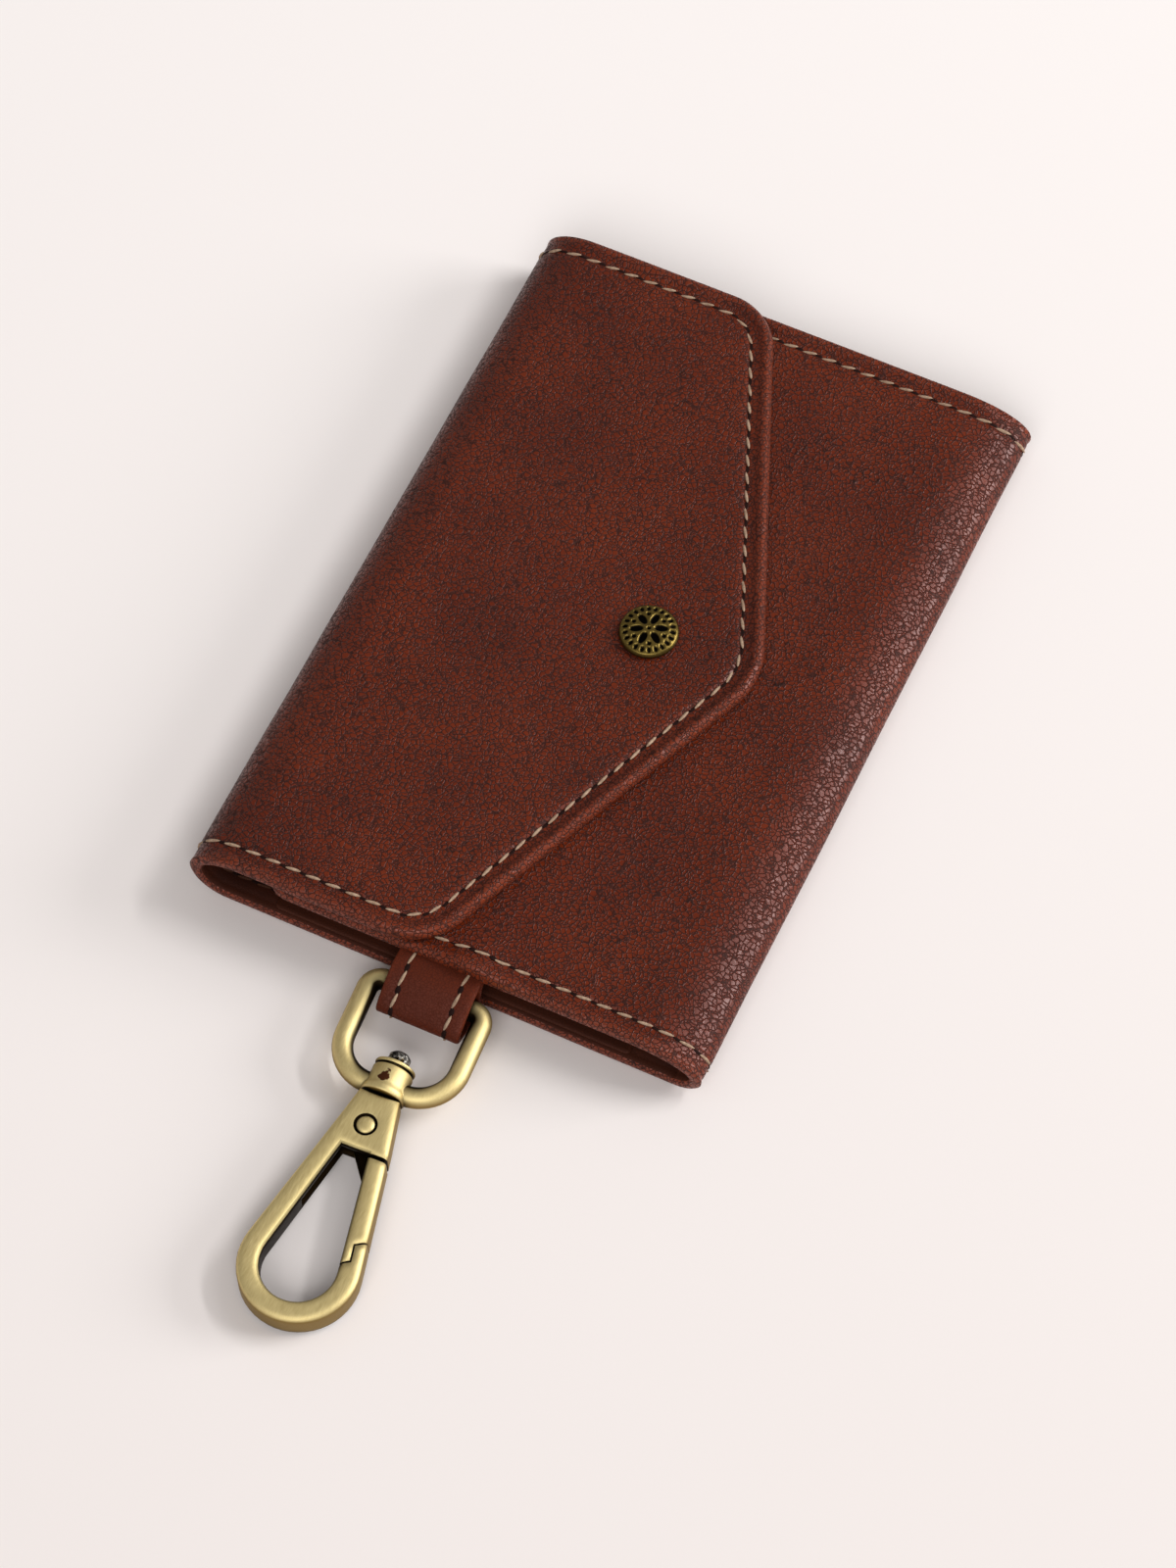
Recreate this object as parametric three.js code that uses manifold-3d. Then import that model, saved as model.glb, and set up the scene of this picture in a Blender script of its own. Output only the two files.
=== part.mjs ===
// Leather phone purse with a swivel trigger hook, in millimetres, +Z up.
// It lies on its back: the origin is the middle of the back face and the hook points along -Y.
// The flap folds over from the -X side, and the closed bottom of the compartment is on the +X side.

import * as THREE from "three";
import { mergeVertices } from "three/addons/utils/BufferGeometryUtils.js";
import Module from "manifold-3d";

const wasm = await Module();
wasm.setup();

// Purse size and layers
const purseWidth = 115; // fold to fold, along X
const purseLength = 172; // end to end, along Y
const leatherThickness = 1.5;
const boardThickness = 0.6;
const liningThickness = 0.7;
const layerGap = 0.1; // glue line between two layers
const turnedEdge = 2.4; // leather turned in round the board and the lining
const edgeRounding = 0.9;
const seamGap = 0.3; // between pieces that meet edge to edge
const compartmentHeight = 6.6; // between the back lining and the front lining
const flapRest = 0.4; // between the front panel and the closed flap

// Folds, each a sheet bent from the back panel up to the panel above it
const bottomFoldTop = 16; // how far the bend reaches in over the top
const bottomFoldUnderside = 6;
const bottomFoldCrest = 5.2; // height of the outermost line
const flapFoldTop = 12;
const flapFoldUnderside = 8;
const flapFoldCrest = 8;

// Flap and front panel, measured from the flap fold's outermost line
const flapShoulder = 54; // flap depth at the two ends of the purse
const flapPoint = 90; // flap depth at its point, before rounding
const flapShoulderRadius = 13;
const flapPointRadius = 17;
const mouthSetback = 16.5; // to the free edge of the front panel
const frontCornerRadius = 6;

// Gussets at the two ends of the compartment
const gussetThickness = 0.8;
const gussetSetback = 1; // from the end of the purse
const gussetSeam = 4; // flange sewn to the lining
const gussetDepth = 9; // how far the pleat folds into the compartment

// Snap fastener
const snapSetback = 63.8; // from the flap fold's outermost line
const snapClearance = 0.3;
const capRadius = 6.25;
const capRim = 0.7; // height of the cap's straight rim
const capDome = 1.5; // height of the dome above the rim
const capStemRadius = 1.8;
const socketRadius = 4.6;
const socketCavityRadius = 2.9;
const socketRoof = 0.3;
const socketProud = 0.25; // how far the socket stands out of the flap lining
const studFlangeRadius = 3.9;
const studFlangeThickness = 0.5;
const studNeckRadius = 2.2;
const studHeadRadius = 2.6;
const studHeight = 1.3; // above the front leather
const postRadius = 1.5;
const postFlangeRadius = 3.9;
const postFlangeThickness = 0.5;

// Leather tab that holds the ring
const tabWidth = 18.6;
const tabLeather = 1.2;
const tabTail = 8; // sewn in under the front leather
const tabReach = 12; // past the end of the purse
const barClearance = 1; // round the ring's bar, inside the tab

// Ring and collar, one casting
const ringInnerWidth = 20.4;
const ringInnerLength = 17.9; // bar to bow
const ringWire = 4.4; // diameter
const ringCornerRadius = 3; // at the middle of the wire
const ringBowRadius = 8.5;
const barSetback = 5; // from the end of the purse
const barHeight = 5.9; // above the back face
const collarLength = 6.2;
const collarBelowBow = 2.3;
const collarRadius = 4.7;
const collarTopRadius = 4.3;
const collarRim = 1.1; // width of the raised lip at the hook's end
const clipShift = -0.4; // ring's slack along X inside the tab
const clipYaw = THREE.MathUtils.degToRad(3); // how far the clip lies askew

// Swivel pin and washer
const pinRadius = 1.5;
const pinSeat = 2.7; // length inside the hook's head
const pinHeadRadius = 2.3;
const pinHeadLength = 2.7;
const washerRadius = 4.3;
const washerThickness = 1;
const runningGap = 0.25;
const swivelGap = 0.4; // between collar and hook

// Hook
const hookThickness = 6.6;
const hookRounding = 1.1;
const hookLength = 51.7;
const headTopWidth = 8.6;
const headWidth = 13;
const headLength = 10;
const headDrop = 5.4; // from the rivet to the head's lower edge
const bowRadius = 12.4;
const bowBar = 4.5; // width of the bow at its end
const bowShift = -0.5; // of the bow's middle, towards the fixed arm
const eyeRadius = 7.8;
const throatWidth = 5.8; // width of the eye at the head
const rivetDrop = 7.2; // from the top of the head to the rivet

// Gate, its rivet and its spring
const gateSwing = THREE.MathUtils.degToRad(25);
const gateGap = 0.4;
const gateTopGap = 0.9; // below the head
const lapDrop = 24.7; // from the rivet to the upper corner of the lap
const lapStep = 3.5; // height of the lap
const lapSlant = 0.6; // slope of the lap's two end faces
const slotWidth = 2.9;
const tongueThickness = 1.3;
const tongueHubRadius = 3.5;
const tongueEndRadius = 1.7;
const tongueReach = 11; // from the rivet into the gate
const rivetRadius = 1.5;
const rivetHeadRadius = 2.05;
const rivetHeadHeight = 0.9;
const rivetDome = 0.3; // above the hook's face
const springWire = 0.7;
const springRadius = 2.6; // bend round the rivet
const springLeg = 18.5; // down the fixed arm, from the rivet
const springGateLeg = 5;

// Smoothness of round faces
const arcSegments = 6;
const edgeSegments = 2;
const hookArcSegments = 14;
const hookEdgeSegments = 3;
const rodSides = 24;
const latheSides = 28;
const ringSteps = 56;
const ringSides = 12;
const springSteps = 32;
const springSides = 6;
const tabSteps = 40;
const margin = 2; // how far a cutting tool runs past what it cuts
const mergeTolerance = 1e-4;

// Heights and places that follow from the sizes above
const panelThickness = leatherThickness + boardThickness + liningThickness + 2 * layerGap;
const halfWidth = purseWidth / 2;
const halfLength = purseLength / 2;
const frontInside = panelThickness + compartmentHeight;
const frontTop = frontInside + panelThickness;
const flapInside = frontTop + flapRest;
const flapTop = flapInside + panelThickness;
const mouthX = mouthSetback - halfWidth;
const snapX = snapSetback - halfWidth;
const tabTop = frontTop - leatherThickness - layerGap;
const tabBottom = tabTop - 2 * tabLeather - layerGap;

// Distances along the clip, from the ring's bar, negative towards the hook
const ringHalf = (ringInnerWidth + ringWire) / 2;
const ringBow = -(ringInnerLength + ringWire);
const collarEnd = ringBow - collarBelowBow;
const collarStart = collarEnd + collarLength;
const washerStart = collarStart + runningGap;
const pinHeadStart = washerStart + washerThickness + runningGap;
const hookTop = collarEnd - swivelGap;
const hookEnd = hookTop - hookLength;
const rivetY = hookTop - rivetDrop;
const headEdge = rivetY - headDrop;
const bowCentre = new THREE.Vector2(bowShift, hookEnd + bowRadius);
const eyeCentre = new THREE.Vector2(bowShift, hookEnd + bowBar + eyeRadius);
const [fixedArm, gateArm] = [-1, 1].map((side) => {
  const shoulder = new THREE.Vector2((side * headWidth) / 2, hookTop - headLength);
  const throat = new THREE.Vector2((side * throatWidth) / 2, headEdge);
  const bowTouch = touchPoint(shoulder, bowCentre, bowRadius, side);
  const eyeTouch = touchPoint(throat, eyeCentre, eyeRadius, side);
  return { shoulder, throat, bowTouch, eyeTouch };
});

// Solids

function toSolid(geometry) {
  const bare = geometry.clone();
  bare.deleteAttribute("normal");
  bare.deleteAttribute("uv");
  const merged = mergeVertices(bare, mergeTolerance);
  const corners = merged.index.array;
  const triangles = [];
  for (let i = 0; i < corners.length; i += 3) {
    const [a, b, c] = corners.slice(i, i + 3);
    if (a !== b && b !== c && c !== a) {
      triangles.push(a, b, c);
    }
  }
  const vertProperties = merged.attributes.position.array;
  const triVerts = Uint32Array.from(triangles);
  return new wasm.Manifold(new wasm.Mesh({ numProp: 3, vertProperties, triVerts }));
}

function toGeometry(solid) {
  const mesh = solid.getMesh();
  const geometry = new THREE.BufferGeometry();
  geometry.setAttribute("position", new THREE.BufferAttribute(mesh.vertProperties, 3));
  geometry.setIndex(new THREE.BufferAttribute(mesh.triVerts, 1));
  geometry.computeVertexNormals();
  return geometry;
}

function cut(body, ...tools) {
  return toGeometry(tools.reduce((solid, tool) => solid.subtract(toSolid(tool)), toSolid(body)));
}

function join(body, ...others) {
  return toGeometry(others.reduce((solid, other) => solid.add(toSolid(other)), toSolid(body)));
}

function overlap(body, other) {
  return toGeometry(toSolid(body).intersect(toSolid(other)));
}

// Extrudes an outline from one height to another, with its rims rounded inside the outline.
function slab(outline, low, high, rounding = 0, arcs = arcSegments, edges = edgeSegments) {
  const geometry = new THREE.ExtrudeGeometry(outline, {
    depth: high - low - 2 * rounding,
    bevelEnabled: rounding > 0,
    bevelThickness: rounding,
    bevelSize: rounding,
    bevelOffset: -rounding,
    bevelSegments: edges,
    curveSegments: arcs,
  });
  return geometry.translate(0, 0, low + rounding);
}

// The same with the outline in Y and Z, extruded along X.
function slabAlongX(outline, low, high) {
  const turn = new THREE.Matrix4().set(0, 0, 1, 0, 1, 0, 0, 0, 0, 1, 0, 0, 0, 0, 0, 1);
  return slab(outline, low, high).applyMatrix4(turn);
}

// The same with the outline in X and Z, centred along Y.
function slabAlongY(outline, length, rounding) {
  return slab(outline, -length / 2, length / 2, rounding).rotateX(Math.PI / 2);
}

function rod(radius, x, y, low, high) {
  const geometry = new THREE.CylinderGeometry(radius, radius, high - low, rodSides);
  return geometry.rotateX(Math.PI / 2).translate(x, y, (low + high) / 2);
}

function block(low, high) {
  const size = high.map((value, i) => value - low[i]);
  const middle = high.map((value, i) => (value + low[i]) / 2);
  return new THREE.BoxGeometry(...size).translate(...middle);
}

// Turns a profile of [radius, height] points about Y.
function turned(profile) {
  const points = profile.map(([radius, height]) => new THREE.Vector2(radius, height));
  return new THREE.LatheGeometry(points, latheSides);
}

// Turns a profile about Z.
function turnedUpright(profile) {
  return turned(profile).rotateX(Math.PI / 2);
}

class FlatPath extends THREE.Curve {
  constructor(path, height) {
    super();
    this.path = path;
    this.height = height;
  }

  getPoint(t, target = new THREE.Vector3()) {
    const point = this.path.getPointAt(t);
    return target.set(point.x, point.y, this.height);
  }
}

function wireAlong(path, height, diameter, steps, sides) {
  const section = new THREE.Shape().absarc(0, 0, diameter / 2, 0, 2 * Math.PI);
  const extrudePath = new FlatPath(path, height);
  return new THREE.ExtrudeGeometry(section, { steps, extrudePath, curveSegments: sides / 2 });
}

// Outlines

// A polygon of [x, y, radius] corners, anticlockwise, with each corner rounded to its radius.
function roundedOutline(corners) {
  const shape = new THREE.Shape();
  const goTo = ({ x, y }, i) => (i === 0 ? shape.moveTo(x, y) : shape.lineTo(x, y));
  corners.forEach(([x, y, radius], i) => {
    const corner = new THREE.Vector2(x, y);
    if (radius === 0) {
      goTo(corner, i);
      return;
    }
    const [before, after] = [corners.at(i - 1), corners[(i + 1) % corners.length]].map(
      ([otherX, otherY]) => new THREE.Vector2(otherX, otherY).sub(corner).normalize(),
    );
    const halfAngle = Math.acos(before.dot(after)) / 2;
    const toCentre = before.clone().add(after).setLength(radius / Math.sin(halfAngle));
    const centre = corner.clone().add(toCentre);
    const reach = radius / Math.tan(halfAngle);
    const start = before.clone().multiplyScalar(reach);
    const end = after.clone().multiplyScalar(reach);
    goTo(corner.add(start), i);
    const [startAngle, endAngle] = [start.sub(toCentre).angle(), end.sub(toCentre).angle()];
    shape.absarc(centre.x, centre.y, radius, startAngle, endAngle, before.cross(after) > 0);
  });
  return shape;
}

// Moves each edge of such a polygon inwards by its own distance; edge i runs from corner i to the next.
function insetCorners(corners, insets) {
  const edges = corners.map(([x, y], i) => {
    const [nextX, nextY] = corners[(i + 1) % corners.length];
    const along = new THREE.Vector2(nextX - x, nextY - y).normalize();
    const inward = new THREE.Vector2(-along.y, along.x);
    return { along, point: new THREE.Vector2(x, y).addScaledVector(inward, insets[i]) };
  });
  return corners.map(([, , radius], i) => {
    const before = edges.at(i - 1);
    const after = edges[i];
    const across = after.point.clone().sub(before.point).cross(after.along);
    const travel = across / before.along.cross(after.along);
    const corner = before.point.clone().addScaledVector(before.along, travel);
    return [corner.x, corner.y, radius > 0 ? Math.max(radius - insets[i], 0) : 0];
  });
}

// A strip of even width along a flat curve.
function stripOutline(curve, width, steps) {
  const left = [];
  const right = [];
  for (let i = 0; i <= steps; i += 1) {
    const point = curve.getPointAt(i / steps);
    const tangent = curve.getTangentAt(i / steps);
    const across = new THREE.Vector2(-tangent.y, tangent.x).multiplyScalar(width / 2);
    left.push(point.clone().add(across));
    right.unshift(point.clone().sub(across));
  }
  return new THREE.Shape([...left, ...right]);
}

// Two circles with their outer tangents.
function leverOutline(centre, radius, endCentre, endRadius) {
  const line = endCentre.clone().sub(centre);
  const spread = Math.acos((radius - endRadius) / line.length());
  const heading = line.angle();
  const shape = new THREE.Shape();
  shape.absarc(centre.x, centre.y, radius, heading + spread, heading - spread + 2 * Math.PI, false);
  shape.absarc(endCentre.x, endCentre.y, endRadius, heading - spread, heading + spread, false);
  return shape;
}

// Where a line from a point above a circle touches it, on its +X side where side is 1, else on its -X side.
function touchPoint(from, centre, radius, side) {
  const line = from.clone().sub(centre);
  const angle = line.angle() - side * Math.acos(radius / line.length());
  return new THREE.Vector2(Math.cos(angle), Math.sin(angle)).multiplyScalar(radius).add(centre);
}

// Purse panels

// Leather with its free edges turned in round a board and a lining. isTurned tells which edges are free,
// inside is the height of the lining's face, and facing is 1 where the leather lies above it, else -1.
function sewnPanel(corners, isTurned, inside, facing) {
  const inset = (free, fold) => insetCorners(corners, isTurned.map((edge) => (edge ? free : fold)));
  const layer = (outline, from, to, rounding) => {
    const [low, high] = [inside + facing * from, inside + facing * to].sort((a, b) => a - b);
    return slab(roundedOutline(outline), low, high, rounding);
  };
  const blank = layer(inset(0, -margin), 0, panelThickness, edgeRounding);
  const trimmed = overlap(blank, layer(inset(-margin, 0), -margin, panelThickness + margin));
  const pocket = layer(inset(turnedEdge, -margin), -margin, panelThickness - leatherThickness);
  const filling = inset(turnedEdge + seamGap, 0);
  const boardStart = liningThickness + layerGap;
  return {
    leather: cut(trimmed, pocket),
    board: layer(filling, boardStart, boardStart + boardThickness),
    lining: layer(filling, 0, liningThickness),
  };
}

function backLayers() {
  const left = flapFoldUnderside - halfWidth + seamGap;
  const right = halfWidth - bottomFoldUnderside - seamGap;
  const corners = [
    [left, -halfLength, 0],
    [right, -halfLength, 0],
    [right, halfLength, 0],
    [left, halfLength, 0],
  ];
  return sewnPanel(corners, [true, false, true, false], panelThickness, -1);
}

function frontLayers() {
  const fold = halfWidth - bottomFoldTop - seamGap;
  const corners = [
    [mouthX, -halfLength, frontCornerRadius],
    [fold, -halfLength, 0],
    [fold, halfLength, 0],
    [mouthX, halfLength, frontCornerRadius],
  ];
  const panel = sewnPanel(corners, [true, false, true, true], frontInside, 1);
  const postHole = rod(postRadius + snapClearance, snapX, 0, frontInside - margin, frontTop + margin);
  const studSeat = frontTop - studFlangeThickness - layerGap;
  const studRecess = rod(studFlangeRadius + snapClearance, snapX, 0, studSeat, frontTop + margin);
  return {
    leather: cut(panel.leather, tabNotch(), postHole, studRecess),
    board: cut(panel.board, tabNotch(), postHole),
    lining: cut(panel.lining, tabNotch(), postHole),
  };
}

function flapLayers() {
  const fold = flapFoldTop - halfWidth + seamGap;
  const shoulderX = flapShoulder - halfWidth;
  const corners = [
    [fold, -halfLength, 0],
    [shoulderX, -halfLength, flapShoulderRadius],
    [flapPoint - halfWidth, 0, flapPointRadius],
    [shoulderX, halfLength, flapShoulderRadius],
    [fold, halfLength, 0],
  ];
  const panel = sewnPanel(corners, [true, true, true, true, false], flapInside, 1);
  const stemHole = rod(capStemRadius + snapClearance, snapX, 0, flapInside - margin, flapTop + margin);
  const socketTop = flapTop - leatherThickness;
  const socketHole = rod(socketRadius + snapClearance, snapX, 0, flapInside - margin, socketTop);
  return {
    leather: cut(panel.leather, stemHole),
    board: cut(panel.board, socketHole),
    lining: cut(panel.lining, socketHole),
  };
}

// A panel-thick sheet bent between two levels: a quarter ellipse over its top and one under it.
// It is drawn for the +X side, with straight ends that are trimmed square.
function foldedSheet(height, overTop, underside, crest) {
  const topX = halfWidth - overTop;
  const undersideX = halfWidth - underside;
  const inner = panelThickness;
  const profile = new THREE.Shape();
  profile.moveTo(topX - margin, height);
  profile.lineTo(topX, height);
  profile.absellipse(topX, crest, overTop, height - crest, Math.PI / 2, 0, true);
  profile.absellipse(undersideX, crest, underside, crest, 0, -Math.PI / 2, true);
  profile.lineTo(undersideX - margin, 0);
  profile.lineTo(undersideX - margin, inner);
  profile.absellipse(undersideX, crest, underside - inner, crest - inner, -Math.PI / 2, 0, false);
  profile.absellipse(topX, crest, overTop - inner, height - crest - inner, 0, Math.PI / 2, false);
  profile.lineTo(topX - margin, height - inner);
  const sheet = slabAlongY(profile, purseLength, edgeRounding);
  const topEnd = block([topX - 2 * margin, -purseLength, crest], [topX, purseLength, height + margin]);
  const undersideEnd = block(
    [undersideX - 2 * margin, -purseLength, -margin],
    [undersideX, purseLength, inner + layerGap],
  );
  return cut(sheet, topEnd, undersideEnd);
}

// A pleat that closes one end of the compartment, sewn to the front and back linings by two flanges.
function gusset(end) {
  const rim = end * (halfLength - gussetSetback);
  const crease = rim - end * gussetSeam;
  const valley = crease - end * gussetDepth;
  const top = frontInside - layerGap;
  const bottom = panelThickness + layerGap;
  const middle = (top + bottom) / 2;
  const profile = [
    [rim, top],
    [crease, top],
    [valley, middle + gussetThickness / 2],
    [valley, middle - gussetThickness / 2],
    [crease, bottom],
    [rim, bottom],
    [rim, bottom + gussetThickness],
    [crease, bottom + gussetThickness],
    [valley + end * gussetThickness, middle],
    [crease, top - gussetThickness],
    [rim, top - gussetThickness],
  ];
  const outline = new THREE.Shape(profile.map(([y, z]) => new THREE.Vector2(y, z)));
  const pleat = slabAlongX(outline, mouthX + turnedEdge, halfWidth - bottomFoldTop - seamGap);
  return end < 0 ? cut(pleat, tabNotch()) : pleat;
}

// Clip tab

// Room for the tab's sewn-in tail, under the front leather.
function tabNotch() {
  const side = tabWidth / 2 + seamGap;
  return block(
    [-side, -halfLength - margin, tabBottom - seamGap],
    [side, tabTail - halfLength + seamGap, frontTop - leatherThickness],
  );
}

// One strip of leather folded round the ring's bar, its two ends laid together inside the purse.
function clipTab() {
  const end = -halfLength;
  const barY = end - barSetback;
  const upper = tabTop - tabLeather / 2;
  const lower = tabBottom + tabLeather / 2;
  const around = ringWire / 2 + barClearance + tabLeather / 2;
  const line = new THREE.SplineCurve(
    [
      [end + tabTail, upper],
      [end + tabTail / 2, upper],
      [end, upper],
      [barY, barHeight + around],
      [end - tabReach + tabLeather / 2, barHeight - tabLeather],
      [barY, barHeight - around],
      [barY + around * Math.SQRT1_2, barHeight - around * Math.SQRT1_2],
      [barY + around, barHeight],
      [end, lower],
      [end + tabTail / 2, lower],
      [end + tabTail, lower],
    ].map(([y, z]) => new THREE.Vector2(y, z)),
  );
  return slabAlongX(stripOutline(line, tabLeather, tabSteps), -tabWidth / 2, tabWidth / 2);
}

// Snap fastener

function snapCap() {
  const base = flapTop + layerGap;
  const rim = base + capRim;
  const dome = [];
  for (let i = 0; i <= arcSegments; i += 1) {
    const angle = (Math.PI / 2) * (i / arcSegments);
    dome.push([capRadius * Math.cos(angle), rim + capDome * Math.sin(angle)]);
  }
  dome[arcSegments][0] = 0;
  const stemEnd = flapTop - leatherThickness;
  const stem = [[0, stemEnd], [capStemRadius, stemEnd], [capStemRadius, base], [capRadius, base]];
  const profile = [...stem, ...dome];
  return turnedUpright(profile).translate(snapX, 0, 0);
}

function snapSocket() {
  const top = flapTop - leatherThickness - layerGap;
  const mouth = flapInside - socketProud;
  const profile = [
    [0, top - socketRoof],
    [socketCavityRadius, top - socketRoof],
    [socketCavityRadius, mouth],
    [socketRadius, mouth],
    [socketRadius, top],
    [0, top],
  ];
  return turnedUpright(profile).translate(snapX, 0, 0);
}

function snapStud() {
  const seat = frontTop - studFlangeThickness;
  const top = frontTop + studHeight;
  const neck = frontTop + studHeight / 2;
  const bore = postRadius + snapClearance;
  const boreTop = frontTop + studHeight / 2;
  const profile = [
    [0, boreTop],
    [bore, boreTop],
    [bore, seat],
    [studFlangeRadius, seat],
    [studFlangeRadius, frontTop],
    [studNeckRadius, frontTop],
    [studHeadRadius, neck],
    [studNeckRadius, top],
    [0, top],
  ];
  return turnedUpright(profile).translate(snapX, 0, 0);
}

function snapPost() {
  const flangeTop = frontInside - layerGap;
  const flangeBottom = flangeTop - postFlangeThickness;
  const tip = frontTop + studHeight / 2 - snapClearance;
  const profile = [
    [0, flangeBottom],
    [postFlangeRadius, flangeBottom],
    [postFlangeRadius, flangeTop],
    [postRadius, flangeTop],
    [postRadius, tip],
    [0, tip],
  ];
  return turnedUpright(profile).translate(snapX, 0, 0);
}

// Ring and swivel, in the clip's own frame: the ring's bar lies along X through the origin

// A bent wire whose ends meet in a collar, through which the hook's pin turns.
function swivelRing() {
  const centreline = new THREE.Path();
  const bowX = ringHalf - ringBowRadius;
  const cornerX = ringHalf - ringCornerRadius;
  const wireEnd = pinRadius + runningGap + ringWire / 4;
  centreline.moveTo(-wireEnd, ringBow);
  centreline.lineTo(-bowX, ringBow);
  centreline.absarc(-bowX, ringBow + ringBowRadius, ringBowRadius, -Math.PI / 2, -Math.PI, true);
  centreline.absarc(-cornerX, -ringCornerRadius, ringCornerRadius, Math.PI, Math.PI / 2, true);
  centreline.absarc(cornerX, -ringCornerRadius, ringCornerRadius, Math.PI / 2, 0, true);
  centreline.absarc(bowX, ringBow + ringBowRadius, ringBowRadius, 0, -Math.PI / 2, true);
  centreline.lineTo(wireEnd, ringBow);
  const collar = turned([
    [0, collarEnd],
    [collarRadius, collarEnd],
    [collarRadius, collarEnd + collarRim],
    [collarTopRadius, collarEnd + 2 * collarRim],
    [collarTopRadius, collarStart],
    [0, collarStart],
  ]);
  const boreLength = collarLength + 2 * margin;
  const boreRadius = pinRadius + runningGap;
  const bore = new THREE.CylinderGeometry(boreRadius, boreRadius, boreLength, rodSides);
  bore.translate(0, (collarStart + collarEnd) / 2, 0);
  return cut(join(wireAlong(centreline, 0, ringWire, ringSteps, ringSides), collar), bore);
}

function swivelWasher() {
  const inner = pinRadius + runningGap;
  const top = washerStart + washerThickness;
  return turned([
    [inner, washerStart],
    [washerRadius, washerStart],
    [washerRadius, top],
    [inner, top],
    [inner, washerStart],
  ]);
}

function swivelPin() {
  const top = pinHeadStart + pinHeadLength;
  const chamfer = pinHeadLength / 4;
  return turned([
    [0, hookTop - pinSeat],
    [pinRadius, hookTop - pinSeat],
    [pinRadius, pinHeadStart],
    [pinHeadRadius, pinHeadStart],
    [pinHeadRadius, top - chamfer],
    [pinHeadRadius - chamfer, top],
    [0, top],
  ]);
}

// Hook and gate

// The whole pear-shaped loop, before the gate is parted from the hook.
function hookBlank() {
  const angleOn = (centre, point) => point.clone().sub(centre).angle();
  const pear = new THREE.Shape();
  pear.moveTo(-headTopWidth / 2, hookTop);
  pear.lineTo(fixedArm.shoulder.x, fixedArm.shoulder.y);
  const bowEnds = [fixedArm, gateArm].map((arm) => angleOn(bowCentre, arm.bowTouch));
  pear.absarc(bowCentre.x, bowCentre.y, bowRadius, ...bowEnds, false);
  pear.lineTo(gateArm.shoulder.x, gateArm.shoulder.y);
  pear.lineTo(headTopWidth / 2, hookTop);
  const eye = new THREE.Path();
  eye.moveTo(fixedArm.throat.x, fixedArm.throat.y);
  eye.lineTo(fixedArm.eyeTouch.x, fixedArm.eyeTouch.y);
  const eyeEnds = [fixedArm, gateArm].map((arm) => angleOn(eyeCentre, arm.eyeTouch));
  eye.absarc(eyeCentre.x, eyeCentre.y, eyeRadius, ...eyeEnds, false);
  eye.lineTo(gateArm.throat.x, gateArm.throat.y);
  pear.holes.push(eye);
  const half = hookThickness / 2;
  return slab(pear, -half, half, hookRounding, hookArcSegments, hookEdgeSegments);
}

// Half-way point across the gate's arm at a given distance along the clip.
function armMiddle(y) {
  const { shoulder, throat, bowTouch, eyeTouch } = gateArm;
  const outer = THREE.MathUtils.mapLinear(y, shoulder.y, bowTouch.y, shoulder.x, bowTouch.x);
  const inner = THREE.MathUtils.mapLinear(y, throat.y, eyeTouch.y, throat.x, eyeTouch.x);
  return new THREE.Vector2((outer + inner) / 2, y);
}

// The part of the loop that the gate takes: below the head, down to the stepped lap on the hook's nose.
function gateZone(gap, topGap) {
  const upper = armMiddle(rivetY - lapDrop);
  const lower = armMiddle(rivetY - lapDrop - lapStep);
  const outside = bowRadius + margin;
  const corners = [
    [0, headEdge, 0],
    [0, lower.y - lapSlant * lower.x, 0],
    [lower.x, lower.y, 0],
    [upper.x, upper.y, 0],
    [outside, upper.y + lapSlant * (outside - upper.x), 0],
    [outside, headEdge, 0],
  ];
  const insets = corners.map((corner, i) => (i === corners.length - 1 ? topGap : gap));
  const outline = roundedOutline(insetCorners(corners, insets));
  const half = hookThickness / 2 + margin;
  return slab(outline, -half, half);
}

// The tongue that joins the gate to its rivet, turned inwards by an angle and grown by a clearance.
function tongueOutline(swing, clearance) {
  const rivet = new THREE.Vector2(0, rivetY);
  const end = armMiddle(rivetY - tongueReach).rotateAround(rivet, -swing);
  return leverOutline(rivet, tongueHubRadius + clearance, end, tongueEndRadius + clearance);
}

// Hairpin spring: down the fixed arm, round the rivet and out along the gate.
function springLine() {
  const legEnd = rivetY - springLeg;
  const { throat, eyeTouch } = fixedArm;
  const armX = THREE.MathUtils.mapLinear(legEnd, throat.y, eyeTouch.y, throat.x, eyeTouch.x);
  const armInset = springWire;
  const gateHeading = armMiddle(rivetY - tongueReach).sub(new THREE.Vector2(0, rivetY)).normalize();
  const line = new THREE.Path();
  line.moveTo(armX - armInset, legEnd);
  line.lineTo(throat.x - armInset, throat.y);
  line.absarc(0, rivetY, springRadius, Math.PI, 0, true);
  line.lineTo(springGateLeg * gateHeading.x, rivetY + springGateLeg * gateHeading.y);
  return line;
}

function gateSpring() {
  const height = slotWidth / 2 - springWire / 2 - layerGap;
  return wireAlong(springLine(), height, springWire, springSteps, springSides);
}

function rivetBore() {
  const half = hookThickness / 2 + margin;
  return rod(rivetRadius + runningGap, 0, rivetY, -half, half);
}

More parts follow.
